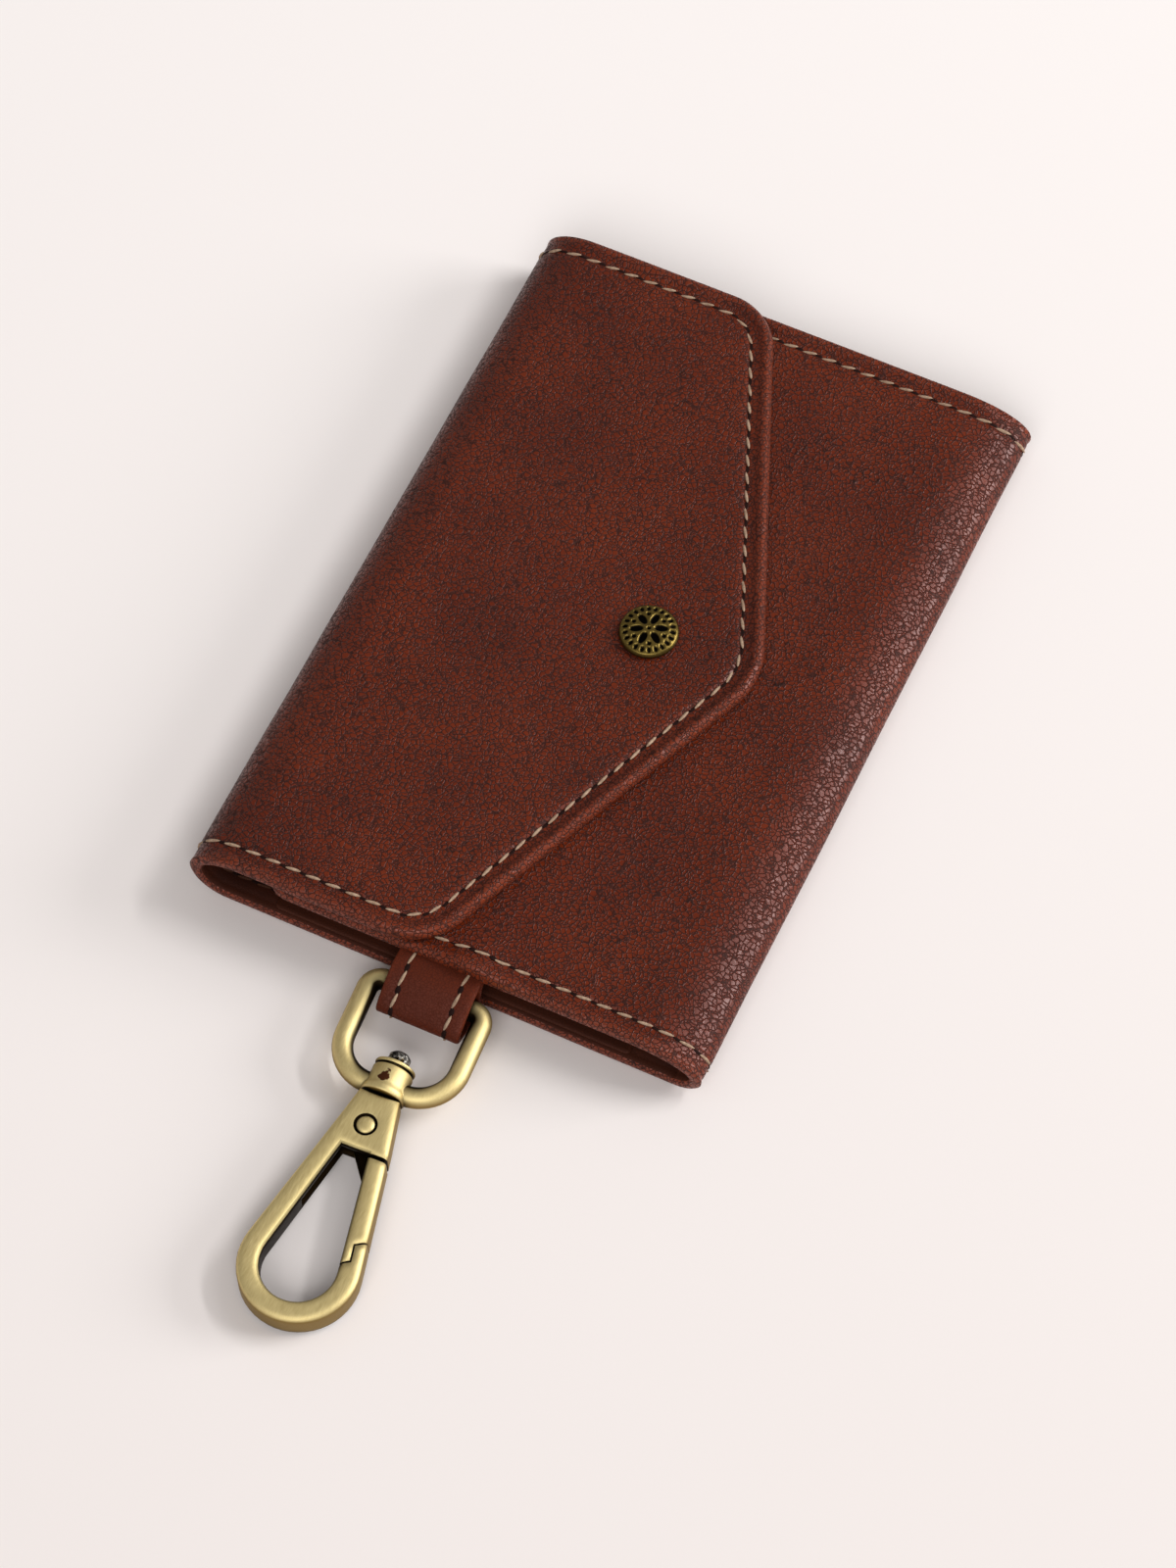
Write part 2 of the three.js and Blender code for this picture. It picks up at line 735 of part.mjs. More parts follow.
function hookBody() {
  const face = hookThickness / 2;
  const slotHalf = slotWidth / 2;
  const slots = [0, 0.5, 1].map((share) =>
    slab(tongueOutline(share * gateSwing, gateGap), -slotHalf, slotHalf),
  );
  const legFoot = springLine().getPoint(0).add(new THREE.Vector2(0, -gateGap));
  const legLine = new THREE.LineCurve(legFoot, new THREE.Vector2(-springRadius, rivetY));
  const channel = slab(stripOutline(legLine, springWire + 4 * gateGap, 1), -slotHalf, slotHalf);
  const headSeat = rivetHeadRadius + gateGap;
  const recesses = [-1, 1].map((side) => {
    const [low, high] = [side * (face - rivetHeadHeight), side * (face + margin)].sort((a, b) => a - b);
    return rod(headSeat, 0, rivetY, low, high);
  });
  const pinHoleRadius = pinRadius + runningGap;
  const pinHole = new THREE.CylinderGeometry(pinHoleRadius, pinHoleRadius, 2 * rivetDrop, rodSides);
  pinHole.translate(0, hookTop - pinSeat - runningGap + rivetDrop, 0);
  return cut(hookBlank(), gateZone(0, 0), ...slots, channel, rivetBore(), ...recesses, pinHole);
}

function gate() {
  const arm = overlap(hookBlank(), gateZone(gateGap, gateTopGap));
  const low = -slotWidth / 2 + layerGap;
  const tongue = slab(tongueOutline(0, 0), low, low + tongueThickness);
  return cut(join(arm, tongue), rivetBore());
}

function gateRivet() {
  const face = hookThickness / 2;
  const seat = face - rivetHeadHeight + layerGap;
  const half = [
    [rivetRadius, seat],
    [rivetHeadRadius, seat],
    [rivetHeadRadius, face],
    [rivetHeadRadius / 2, face + rivetDome],
    [0, face + rivetDome],
  ];
  const lower = half.map(([radius, height]) => [radius, -height]).reverse();
  return turnedUpright([...lower, ...half]).translate(0, rivetY, 0);
}

// Assembly

function finish(color, roughness, metalness) {
  return () => new THREE.MeshStandardMaterial({ color, roughness, metalness });
}

const chestnutLeather = finish(0x5f3023, 0.5, 0);
const liningLeather = finish(0x4a261b, 0.65, 0);
const greyBoard = finish(0x8a7d6a, 0.9, 0);
const antiqueBrass = finish(0xa8925a, 0.38, 1);
const darkSteel = finish(0x4b4843, 0.4, 1);

function addPieces(group, pieces) {
  for (const [name, geometry, material] of pieces) {
    const mesh = new THREE.Mesh(geometry, material());
    mesh.name = name;
    group.add(mesh);
  }
}

const back = backLayers();
const front = frontLayers();
const flap = flapLayers();
const bottomFold = foldedSheet(frontTop, bottomFoldTop, bottomFoldUnderside, bottomFoldCrest);
const flapFold = foldedSheet(flapTop, flapFoldTop, flapFoldUnderside, flapFoldCrest).rotateZ(Math.PI);
const purse = new THREE.Group();
addPieces(purse, [
  ["back_panel", back.leather, chestnutLeather],
  ["back_board", back.board, greyBoard],
  ["back_lining", back.lining, liningLeather],
  ["bottom_fold", bottomFold, chestnutLeather],
  ["flap_fold", flapFold, chestnutLeather],
  ["near_gusset", gusset(-1), liningLeather],
  ["far_gusset", gusset(1), liningLeather],
  ["front_panel", front.leather, chestnutLeather],
  ["front_board", front.board, greyBoard],
  ["front_lining", front.lining, liningLeather],
  ["flap_panel", flap.leather, chestnutLeather],
  ["flap_board", flap.board, greyBoard],
  ["flap_lining", flap.lining, liningLeather],
  ["snap_cap", snapCap(), antiqueBrass],
  ["snap_socket", snapSocket(), antiqueBrass],
  ["snap_stud", snapStud(), antiqueBrass],
  ["snap_post", snapPost(), antiqueBrass],
  ["clip_tab", clipTab(), chestnutLeather],
]);

// The clip tips down from its ring's bar until the hook's bow rests on the table.
const clip = new THREE.Group();
const bowReach = Math.abs(hookEnd) - hookRounding;
clip.rotation.set(Math.asin((barHeight - hookThickness / 2) / bowReach), 0, clipYaw, "ZXY");
clip.position.set(clipShift, -halfLength - barSetback, barHeight);
addPieces(clip, [
  ["swivel_ring", swivelRing(), antiqueBrass],
  ["swivel_washer", swivelWasher(), antiqueBrass],
  ["swivel_pin", swivelPin(), darkSteel],
  ["hook_body", hookBody(), antiqueBrass],
  ["gate", gate(), antiqueBrass],
  ["gate_rivet", gateRivet(), antiqueBrass],
  ["gate_spring", gateSpring(), darkSteel],
]);
purse.add(clip);

export default purse;
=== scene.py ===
# Leather phone purse with a swivel trigger hook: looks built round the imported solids.
# Shapes are worked in millimetres and scaled to metres when a piece is finished.

import bisect
import math

import bmesh
import bpy
from mathutils import Matrix, Vector, noise
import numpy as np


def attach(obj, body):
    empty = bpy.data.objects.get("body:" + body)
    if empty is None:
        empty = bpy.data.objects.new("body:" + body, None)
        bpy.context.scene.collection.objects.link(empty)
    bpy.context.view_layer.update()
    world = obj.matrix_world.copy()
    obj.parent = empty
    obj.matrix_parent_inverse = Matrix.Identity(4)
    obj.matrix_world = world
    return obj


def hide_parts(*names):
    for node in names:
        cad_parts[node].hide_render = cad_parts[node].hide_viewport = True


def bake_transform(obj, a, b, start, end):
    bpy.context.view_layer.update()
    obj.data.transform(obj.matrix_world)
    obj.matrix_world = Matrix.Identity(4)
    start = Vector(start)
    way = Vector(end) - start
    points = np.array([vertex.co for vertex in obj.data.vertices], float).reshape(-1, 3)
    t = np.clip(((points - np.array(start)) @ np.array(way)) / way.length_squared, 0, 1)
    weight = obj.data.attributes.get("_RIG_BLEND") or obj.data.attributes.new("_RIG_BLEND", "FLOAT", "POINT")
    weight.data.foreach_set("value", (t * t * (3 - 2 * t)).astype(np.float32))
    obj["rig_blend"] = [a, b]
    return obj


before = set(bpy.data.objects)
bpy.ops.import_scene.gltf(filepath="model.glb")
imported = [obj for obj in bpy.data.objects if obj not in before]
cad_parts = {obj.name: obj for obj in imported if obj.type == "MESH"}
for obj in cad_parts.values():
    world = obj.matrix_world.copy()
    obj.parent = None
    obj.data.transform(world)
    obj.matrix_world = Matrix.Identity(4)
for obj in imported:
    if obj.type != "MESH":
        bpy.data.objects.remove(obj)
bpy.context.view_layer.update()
print("frame:", len(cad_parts), "solids")


# Shared helpers

def srgb(hexText):
    values = [int(hexText[i:i + 2], 16) / 255 for i in (1, 3, 5)]
    return tuple(v / 12.92 if v <= 0.04045 else ((v + 0.055) / 1.055) ** 2.4 for v in values) + (1.0,)


def addNode(tree, kind, inputs=None, **settings):
    node = tree.nodes.new(kind)
    for name, value in settings.items():
        setattr(node, name, value)
    for name, value in (inputs or {}).items():
        if isinstance(value, bpy.types.NodeSocket):
            tree.links.new(value, node.inputs[name])
        else:
            node.inputs[name].default_value = value
    return node


def newMaterial(name):
    material = bpy.data.materials.new(name)
    material.use_nodes = True
    tree = material.node_tree
    return material, tree, tree.nodes["Principled BSDF"]


def finishPiece(bm, name, materials, replaces=(), sharp=None):
    bmesh.ops.recalc_face_normals(bm, faces=bm.faces)
    bmesh.ops.scale(bm, vec=(0.001, 0.001, 0.001), verts=bm.verts)
    mesh = bpy.data.meshes.new(name)
    bm.to_mesh(mesh)
    bm.free()
    for material in materials:
        mesh.materials.append(material)
    for polygon in mesh.polygons:
        polygon.use_smooth = True
    if sharp:
        mesh.set_sharp_from_angle(angle=math.radians(sharp))
    piece = bpy.data.objects.new(name, mesh)
    bpy.context.scene.collection.objects.link(piece)
    if replaces:
        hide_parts(*replaces)
    print("piece:", name, len(mesh.polygons), "faces")
    return piece


def smoothStep(low, high, value):
    t = min(max((value - low) / (high - low), 0.0), 1.0)
    return t * t * (3 - 2 * t)


# Materials

# Pull-up leather, drummed to a pebbled grain and waxed: reddish chestnut with slightly paler patches where
# it was rubbed, a soft sheen on the grain's tops and none in its creases. Its rim colour is rubbed wear on
# the turned edge together with a painted highlight along the bead.
outerLeatherLook = {
    "dark": "#60200A", "mid": "#6A250C", "pale": "#742B10", "rim": "#823820", "crease": "#1A0501",
    "patchMm": 30, "grainMm": 1.0, "fineMm": 0.5, "creaseMm": 9.0, "valley": 0.85, "bump": 0.9,
    "gloss": 0.24, "rough": 0.7, "specular": 0.28,
}
# The tab's leather is the same hide, pared thin and pressed smooth.
tabLeatherLook = {
    **outerLeatherLook, "dark": "#451708", "mid": "#4B1A0A", "pale": "#531E0D", "rim": "#6A2C18",
    "grainMm": 0.6, "valley": 0.35, "bump": 0.28, "gloss": 0.42, "specular": 0.15,
}
# Thin split leather, smooth and matte, darker: partly its own colour, partly painted shade for the
# inside of the purse under the flap.
liningLeatherShadedLook = {
    "dark": "#2C1007", "mid": "#3A180C", "pale": "#472011", "rim": "#472011", "crease": "#220C06",
    "patchMm": 22, "grainMm": 0.6, "fineMm": 0.3, "creaseMm": 14, "valley": 0.3, "bump": 0.25,
    "gloss": 0.6, "rough": 0.78, "specular": 0.15,
}


# What every hide shares: sizes in millimetres, and shares of a noise or of a pebble.
hideLook = {
    "darkAt": 0.32, "midAt": 0.5, "paleAt": 0.7,
    "rimFullMm": 0.4, "rimGoneMm": 2.8, "rimWearAndHighlight": 0.8,
    "wanderMm": 1.818, "wanderByMm": 1.4, "pebbleEdge": 0.17,
    "fineLow": 0.32, "fineHigh": 0.6, "fineFloor": 0.62,
    "bendMm": 6.25, "bendByMm": 9.0, "veinWide": 0.07, "veinColour": 0.2, "veinDeep": -1.4,
    "zoneMm": 22.22, "zoneLow": 0.5, "zoneHigh": 0.8,
    "slowMm": 11.11, "slowHigh": 5.0, "reliefMm": 0.11,
}


def leatherMaterial(name, look):
    hide = hideLook
    material, tree, shader = newMaterial(name)
    flat = addNode(tree, "ShaderNodeAttribute", attribute_name="flat").outputs["Vector"]
    inset = addNode(tree, "ShaderNodeAttribute", attribute_name="inset").outputs["Fac"]
    patch = addNode(tree, "ShaderNodeTexNoise", {
        "Vector": flat, "Scale": 1 / look["patchMm"], "Detail": 4.0})
    base = addNode(tree, "ShaderNodeValToRGB", {"Fac": patch.outputs["Fac"]})
    base.color_ramp.elements[0].position = hide["darkAt"]
    base.color_ramp.elements[0].color = srgb(look["dark"])
    base.color_ramp.elements[1].position = hide["paleAt"]
    base.color_ramp.elements[1].color = srgb(look["pale"])
    base.color_ramp.elements.new(hide["midAt"]).color = srgb(look["mid"])
    # paler where the edge is turned: rubbed wear, with a painted highlight along the bead
    rimWearAndHighlight = addNode(tree, "ShaderNodeMapRange", {
        "Value": inset, 1: hide["rimFullMm"], 2: hide["rimGoneMm"], 3: hide["rimWearAndHighlight"], 4: 0.0})
    rimWornAndHighlighted = addNode(tree, "ShaderNodeMix", {
        "Factor": rimWearAndHighlight.outputs[0], 6: base.outputs["Color"], 7: srgb(look["rim"])}, data_type="RGBA")
    # pebbles, pushed about by a finer noise so that no two are alike
    wander = addNode(tree, "ShaderNodeTexNoise", {
        "Vector": flat, "Scale": 1 / hide["wanderMm"], "Detail": 2.0})
    shifted = addNode(tree, "ShaderNodeVectorMath", {
        0: wander.outputs["Color"], 1: (hide["wanderByMm"],) * 3, 2: flat}, operation="MULTIPLY_ADD")
    pebble = addNode(tree, "ShaderNodeTexVoronoi", {
        "Vector": shifted.outputs[0], "Scale": 1 / look["grainMm"]}, feature="DISTANCE_TO_EDGE")
    bigTop = addNode(tree, "ShaderNodeMapRange", {
        "Value": pebble.outputs["Distance"], 1: 0.0, 2: hide["pebbleEdge"]},
        interpolation_type="SMOOTHSTEP")
    fine = addNode(tree, "ShaderNodeTexNoise", {
        "Vector": shifted.outputs[0], "Scale": 1 / look["fineMm"], "Detail": 2.0, "Roughness": 0.6})
    fineTop = addNode(tree, "ShaderNodeMapRange", {
        "Value": fine.outputs["Fac"],
        1: hide["fineLow"], 2: hide["fineHigh"], 3: hide["fineFloor"], 4: 1.0})
    pebbleTop = addNode(tree, "ShaderNodeMath", {
        0: bigTop.outputs[0], 1: fineTop.outputs[0]}, operation="MULTIPLY")
    # long creases, only in patches
    bend = addNode(tree, "ShaderNodeTexNoise", {"Vector": flat, "Scale": 1 / hide["bendMm"], "Detail": 3.0})
    bent = addNode(tree, "ShaderNodeVectorMath", {
        0: bend.outputs["Color"], 1: (hide["bendByMm"],) * 3, 2: flat}, operation="MULTIPLY_ADD")
    vein = addNode(tree, "ShaderNodeTexVoronoi", {
        "Vector": bent.outputs[0], "Scale": 1 / look["creaseMm"]}, feature="DISTANCE_TO_EDGE")
    veinLine = addNode(tree, "ShaderNodeMapRange", {
        "Value": vein.outputs["Distance"], 1: 0.0, 2: hide["veinWide"], 3: 1.0, 4: 0.0},
        interpolation_type="SMOOTHSTEP")
    veinZone = addNode(tree, "ShaderNodeTexNoise", {
        "Vector": flat, "Scale": 1 / hide["zoneMm"], "Detail": 1.0})
    veinShare = addNode(tree, "ShaderNodeMapRange", {
        "Value": veinZone.outputs["Fac"], 1: hide["zoneLow"], 2: hide["zoneHigh"]})
    crease = addNode(tree, "ShaderNodeMath", {
        0: veinLine.outputs[0], 1: veinShare.outputs[0]}, operation="MULTIPLY")
    # colour: darker in the grain's valleys and the creases
    valley = addNode(tree, "ShaderNodeMapRange", {
        "Value": pebbleTop.outputs[0], 1: 0.0, 2: 1.0, 3: look["valley"], 4: 0.0})
    deep = addNode(tree, "ShaderNodeMath", {
        0: crease.outputs[0], 1: hide["veinColour"], 2: valley.outputs[0]}, operation="MULTIPLY_ADD")
    colour = addNode(tree, "ShaderNodeMix", {
        "Factor": deep.outputs[0], 6: rimWornAndHighlighted.outputs[2], 7: srgb(look["crease"])}, data_type="RGBA")
    tree.links.new(colour.outputs[2], shader.inputs["Base Color"])
    # gloss on the tops only
    gloss = addNode(tree, "ShaderNodeMapRange", {
        "Value": pebbleTop.outputs[0], 1: 0.0, 2: 1.0, 3: look["rough"], 4: look["gloss"]})
    tree.links.new(gloss.outputs[0], shader.inputs["Roughness"])
    shader.inputs["Specular IOR Level"].default_value = look["specular"]
    # relief: pebbles, creases and the hide's own slow waves
    slow = addNode(tree, "ShaderNodeTexNoise", {"Vector": flat, "Scale": 1 / hide["slowMm"], "Detail": 2.0})
    slowUp = addNode(tree, "ShaderNodeMath", {
        0: slow.outputs["Fac"], 1: hide["slowHigh"], 2: bigTop.outputs[0]}, operation="MULTIPLY_ADD")
    relief = addNode(tree, "ShaderNodeMath", {
        0: crease.outputs[0], 1: hide["veinDeep"], 2: slowUp.outputs[0]}, operation="MULTIPLY_ADD")
    bump = addNode(tree, "ShaderNodeBump", {
        "Strength": look["bump"], "Distance": hide["reliefMm"] / 1000, "Height": relief.outputs[0]})
    tree.links.new(bump.outputs["Normal"], shader.inputs["Normal"])
    return material


outerLeather = leatherMaterial("chestnut pull-up leather", outerLeatherLook)
tabLeather = leatherMaterial("chestnut leather, pressed smooth", tabLeatherLook)
liningLeatherShaded = leatherMaterial("split leather lining, darkened as painted shade", liningLeatherShadedLook)

# Twisted polyester thread, matte cream with a little brown in the twist.
threadLook = {"light": "#CDB298", "dark": "#6E513D", "twistMm": 0.7}
# The bobbin thread on the inside, dyed to go with the lining.
bobbinLook = {"light": "#4A2A1A", "dark": "#2A140B", "twistMm": 0.5}
# The inside of a needle hole: leather fibre in its own shade.
# A needle hole, painted as a dark mark: the shade inside the hole.
holeShadeLook = {"light": "#260E08", "dark": "#120503", "twistMm": 0.6}
# All three are matte, with the twist as relief.
fibreLook = {"bump": 0.4, "deepMm": 0.1, "rough": 0.8, "specular": 0.15}


def fibreMaterial(name, look):
    material, tree, shader = newMaterial(name)
    place = addNode(tree, "ShaderNodeTexCoord").outputs["Object"]
    twist = addNode(tree, "ShaderNodeTexNoise", {"Vector": place, "Scale": 1000 / look["twistMm"]})
    colour = addNode(tree, "ShaderNodeMix", {
        "Factor": twist.outputs["Fac"], 6: srgb(look["dark"]), 7: srgb(look["light"])}, data_type="RGBA")
    tree.links.new(colour.outputs[2], shader.inputs["Base Color"])
    bump = addNode(tree, "ShaderNodeBump", {
        "Strength": fibreLook["bump"], "Distance": fibreLook["deepMm"] / 1000,
        "Height": twist.outputs["Fac"]})
    tree.links.new(bump.outputs["Normal"], shader.inputs["Normal"])
    shader.inputs["Roughness"].default_value = fibreLook["rough"]
    shader.inputs["Specular IOR Level"].default_value = fibreLook["specular"]
    return material


creamThread = fibreMaterial("twisted cream thread", threadLook)
bobbinThread = fibreMaterial("twisted brown thread", bobbinLook)
paintedHoleShade = fibreMaterial("needle hole", holeShadeLook)
sewnMaterials = [creamThread, paintedHoleShade, bobbinThread]

# Cast zinc plated in antique brass and brushed: pale straw on the rubbed faces, dull olive on the flanks as
# painted shade and as finish left unrubbed there, brown-black patina in the corners and hollows, fine
# brush lines along the clip.
brassLook = {
    "bright": "#F3E3AC", "mid": "#D4BC7C", "flank": "#8E7644", "patina": "#21170C",
    "brushMm": 0.18, "reachMm": 3.5, "softMm": 0.3, "smooth": 0.48, "dull": 0.62,
    "cloudMm": 4.545, "cloudShare": 0.3, "hollowAt": 0.58, "bareAt": 1.0, "flankAt": 0.05, "topAt": 0.8,
    "keptFrom": 0.1, "keptTo": 0.9, "stretch": 0.09, "lineLow": 0.25, "lineHigh": 0.75,
    "bump": 0.12, "deepMm": 0.05, "rays": 8,
}
hookLook = {**brassLook, "softMm": 2.2}
capLook = {
    **brassLook, "bright": "#8F7A40", "mid": "#5F4F26", "flank": "#4E401E", "patina": "#0D0A07",
    "brushMm": 0.25, "reachMm": 0.8, "softMm": 0.1, "smooth": 0.3, "dull": 0.44,
}
collarChip = {
    "place": (0.0004, -0.1127, 0.0093), "radius": 0.003, "soft": 1.08, "ragged": 0.0042,
    "raggedMm": 1.111, "colour": "#5A3320",
}


def brassMaterial(name, look, chip=None):
    material, tree, shader = newMaterial(name)
    coords = addNode(tree, "ShaderNodeTexCoord")
    place = coords.outputs["Object"]
    brushed = addNode(tree, "ShaderNodeMapping", {"Vector": place, "Scale": (1.0, look["stretch"], 1.0)})
    lines = addNode(tree, "ShaderNodeTexNoise", {
        "Vector": brushed.outputs[0], "Scale": 1000 / look["brushMm"], "Detail": 2.0})
    cloud = addNode(tree, "ShaderNodeTexNoise", {
        "Vector": place, "Scale": 1000 / look["cloudMm"], "Detail": 4.0})
    # hollows keep their patina: how much of the sky a point sees, and the cloud breaks up its edge
    hollow = addNode(tree, "ShaderNodeAmbientOcclusion", {
        "Distance": look["reachMm"] / 1000}, samples=look["rays"])
    seen = addNode(tree, "ShaderNodeMath", {
        0: cloud.outputs["Fac"], 1: look["cloudShare"], 2: hollow.outputs["AO"]}, operation="MULTIPLY_ADD")
    rubbed = addNode(tree, "ShaderNodeMapRange", {
        "Value": seen.outputs[0], 1: look["hollowAt"], 2: look["bareAt"]})
    # the patina attribute: patina, plus painted shade on the hook's eye walls and the ring by the tab
    kept = addNode(tree, "ShaderNodeAttribute", attribute_name="patina").outputs["Fac"]
    bare = addNode(tree, "ShaderNodeMapRange", {
        "Value": kept, 1: look["keptFrom"], 2: look["keptTo"], 3: 1.0, 4: 0.0})
    share = addNode(tree, "ShaderNodeMath", {
        0: rubbed.outputs[0], 1: bare.outputs[0]}, operation="MULTIPLY")
    # the brush runs over the faces that lie flat; the flanks get a darker colour, painted shade on the walls
    # as well as finish left unrubbed there
    facing = addNode(tree, "ShaderNodeSeparateXYZ", {"Vector": coords.outputs["Normal"]})
    level = addNode(tree, "ShaderNodeMath", {0: facing.outputs["Z"]}, operation="ABSOLUTE")
    litTopShare = addNode(tree, "ShaderNodeMapRange", {
        "Value": level.outputs[0], 1: look["flankAt"], 2: look["topAt"]}, interpolation_type="SMOOTHSTEP")
    tone = addNode(tree, "ShaderNodeMix", {
        "Factor": lines.outputs["Fac"], 6: srgb(look["mid"]), 7: srgb(look["bright"])}, data_type="RGBA")
    paintedFlankShade = addNode(tree, "ShaderNodeMix", {
        "Factor": litTopShare.outputs[0], 6: srgb(look["flank"]), 7: tone.outputs[2]}, data_type="RGBA")
    mixed = addNode(tree, "ShaderNodeMix", {
        "Factor": share.outputs[0], 6: srgb(look["patina"]), 7: paintedFlankShade.outputs[2]}, data_type="RGBA")
    colour = mixed.outputs[2]
    if chip:
        away = addNode(tree, "ShaderNodeVectorMath", {0: place, 1: chip["place"]}, operation="DISTANCE")
        ragged = addNode(tree, "ShaderNodeTexNoise", {
            "Vector": place, "Scale": 1000 / chip["raggedMm"], "Detail": 3.0})
        edge = addNode(tree, "ShaderNodeMath", {
            0: ragged.outputs["Fac"], 1: chip["ragged"], 2: away.outputs["Value"]},
            operation="MULTIPLY_ADD")
        chipped = addNode(tree, "ShaderNodeMapRange", {
            "Value": edge.outputs[0],
            1: chip["radius"], 2: chip["radius"] * chip["soft"], 3: 1.0, 4: 0.0})
        colour = addNode(tree, "ShaderNodeMix", {
            "Factor": chipped.outputs[0], 6: colour, 7: srgb(chip["colour"])}, data_type="RGBA").outputs[2]
    tree.links.new(colour, shader.inputs["Base Color"])
    shader.inputs["Metallic"].default_value = 1.0
    rough = addNode(tree, "ShaderNodeMapRange", {
        "Value": lines.outputs["Fac"],
        1: look["lineLow"], 2: look["lineHigh"], 3: look["smooth"], 4: look["dull"]})
    tree.links.new(rough.outputs[0], shader.inputs["Roughness"])
    soft = addNode(tree, "ShaderNodeBevel", {"Radius": look["softMm"] / 1000}, samples=look["rays"])
    bump = addNode(tree, "ShaderNodeBump", {
        "Strength": look["bump"], "Distance": look["deepMm"] / 1000, "Height": lines.outputs["Fac"],
        "Normal": soft.outputs["Normal"]})
    tree.links.new(bump.outputs["Normal"], shader.inputs["Normal"])
    return material


antiqueBrass = brassMaterial("brushed antique brass", brassLook)
hookBrass = brassMaterial("brushed antique brass, rounded", hookLook)
collarBrass = brassMaterial("brushed antique brass, chipped", brassLook, collarChip)
capBrass = brassMaterial("stamped antique brass", capLook)

# Blackened steel, turned and then peened: dark, with bright scuffs.
steelLook = {
    "dark": "#2B2927", "scuff": "#B5B0A8", "scuffMm": 0.7, "scuffFrom": 0.45, "scuffTo": 0.68,
    "bump": 0.3, "deepMm": 0.1, "rough": 0.38,
}


def steelMaterial():
    look = steelLook
    material, tree, shader = newMaterial("blackened steel")
    place = addNode(tree, "ShaderNodeTexCoord").outputs["Object"]
    scuffs = addNode(tree, "ShaderNodeTexNoise", {
        "Vector": place, "Scale": 1000 / look["scuffMm"], "Detail": 3.0})
    share = addNode(tree, "ShaderNodeMapRange", {
        "Value": scuffs.outputs["Fac"], 1: look["scuffFrom"], 2: look["scuffTo"]})
    colour = addNode(tree, "ShaderNodeMix", {
        "Factor": share.outputs[0], 6: srgb(look["dark"]), 7: srgb(look["scuff"])}, data_type="RGBA")
    tree.links.new(colour.outputs[2], shader.inputs["Base Color"])
    bump = addNode(tree, "ShaderNodeBump", {
        "Strength": look["bump"], "Distance": look["deepMm"] / 1000, "Height": scuffs.outputs["Fac"]})
    tree.links.new(bump.outputs["Normal"], shader.inputs["Normal"])
    shader.inputs["Metallic"].default_value = 1.0
    shader.inputs["Roughness"].default_value = look["rough"]
    return material


darkSteel = steelMaterial()
print("materials: done")


# Leather sheets: an outline is drawn flat, its edges are rolled, and the sheet is bent along a line

# A line in two coordinates that a flat sheet follows.
def makeLine(points):
    lengths = [0.0]
    for (ax, az), (bx, bz) in zip(points, points[1:]):
        lengths.append(lengths[-1] + math.hypot(bx - ax, bz - az))
    tangents = []
    for i in range(len(points)):
        ax, az = points[max(i - 1, 0)]
        bx, bz = points[min(i + 1, len(points) - 1)]
        tangents.append(Vector((bx - ax, bz - az)).normalized())
    return {"points": [Vector(p) for p in points], "lengths": lengths, "tangents": tangents}


def alongLine(line, u):
    lengths = line["lengths"]
    i = min(max(bisect.bisect_right(lengths, u) - 1, 0), len(lengths) - 2)
    share = (u - lengths[i]) / (lengths[i + 1] - lengths[i])
    point = line["points"][i].lerp(line["points"][i + 1], share)
    inside = min(max(share, 0.0), 1.0)
    return point, line["tangents"][i].lerp(line["tangents"][i + 1], inside).normalized()


def ellipseArc(centre, radii, start, end, count=40):
    angles = [math.radians(start + (end - start) * i / count) for i in range(count + 1)]
    return [(centre[0] + radii[0] * math.cos(a), centre[1] + radii[1] * math.sin(a)) for a in angles]


# A smooth line through a few points.
def throughPoints(points, count=8):
    line = []
    for i in range(len(points) - 1):
        p0, p1, p2, p3 = (Vector(points[min(max(i + k, 0), len(points) - 1)]) for k in (-1, 0, 1, 2))
        for k in range(count):
            t = k / count
            line.append(0.5 * (2 * p1 + (p2 - p0) * t + (2 * p0 - 5 * p1 + 4 * p2 - p3) * t * t
                               + (3 * p1 - p0 - 3 * p2 + p3) * t ** 3))
    line.append(Vector(points[-1]))
    return [tuple(p) for p in line]


# A flat face from [x, y, radius] corners, each rounded by a vertex bevel.
def roundedFace(bm, corners, count=14):
    verts = [bm.verts.new((x, y, 0)) for x, y, radius in corners]
    bm.faces.new(verts)
    for i, (x, y, radius) in enumerate(corners):
        if radius:
            here = Vector((x, y))
            before = (Vector(corners[i - 1][:2]) - here).normalized()
            after = (Vector(corners[(i + 1) % len(corners)][:2]) - here).normalized()
            half = before.angle(after) / 2
            bmesh.ops.bevel(
                bm, geom=[verts[i]], offset=radius / math.tan(half), offset_type="OFFSET", segments=count,
                profile=0.5, affect="VERTICES", material=-1, clamp_overlap=False)


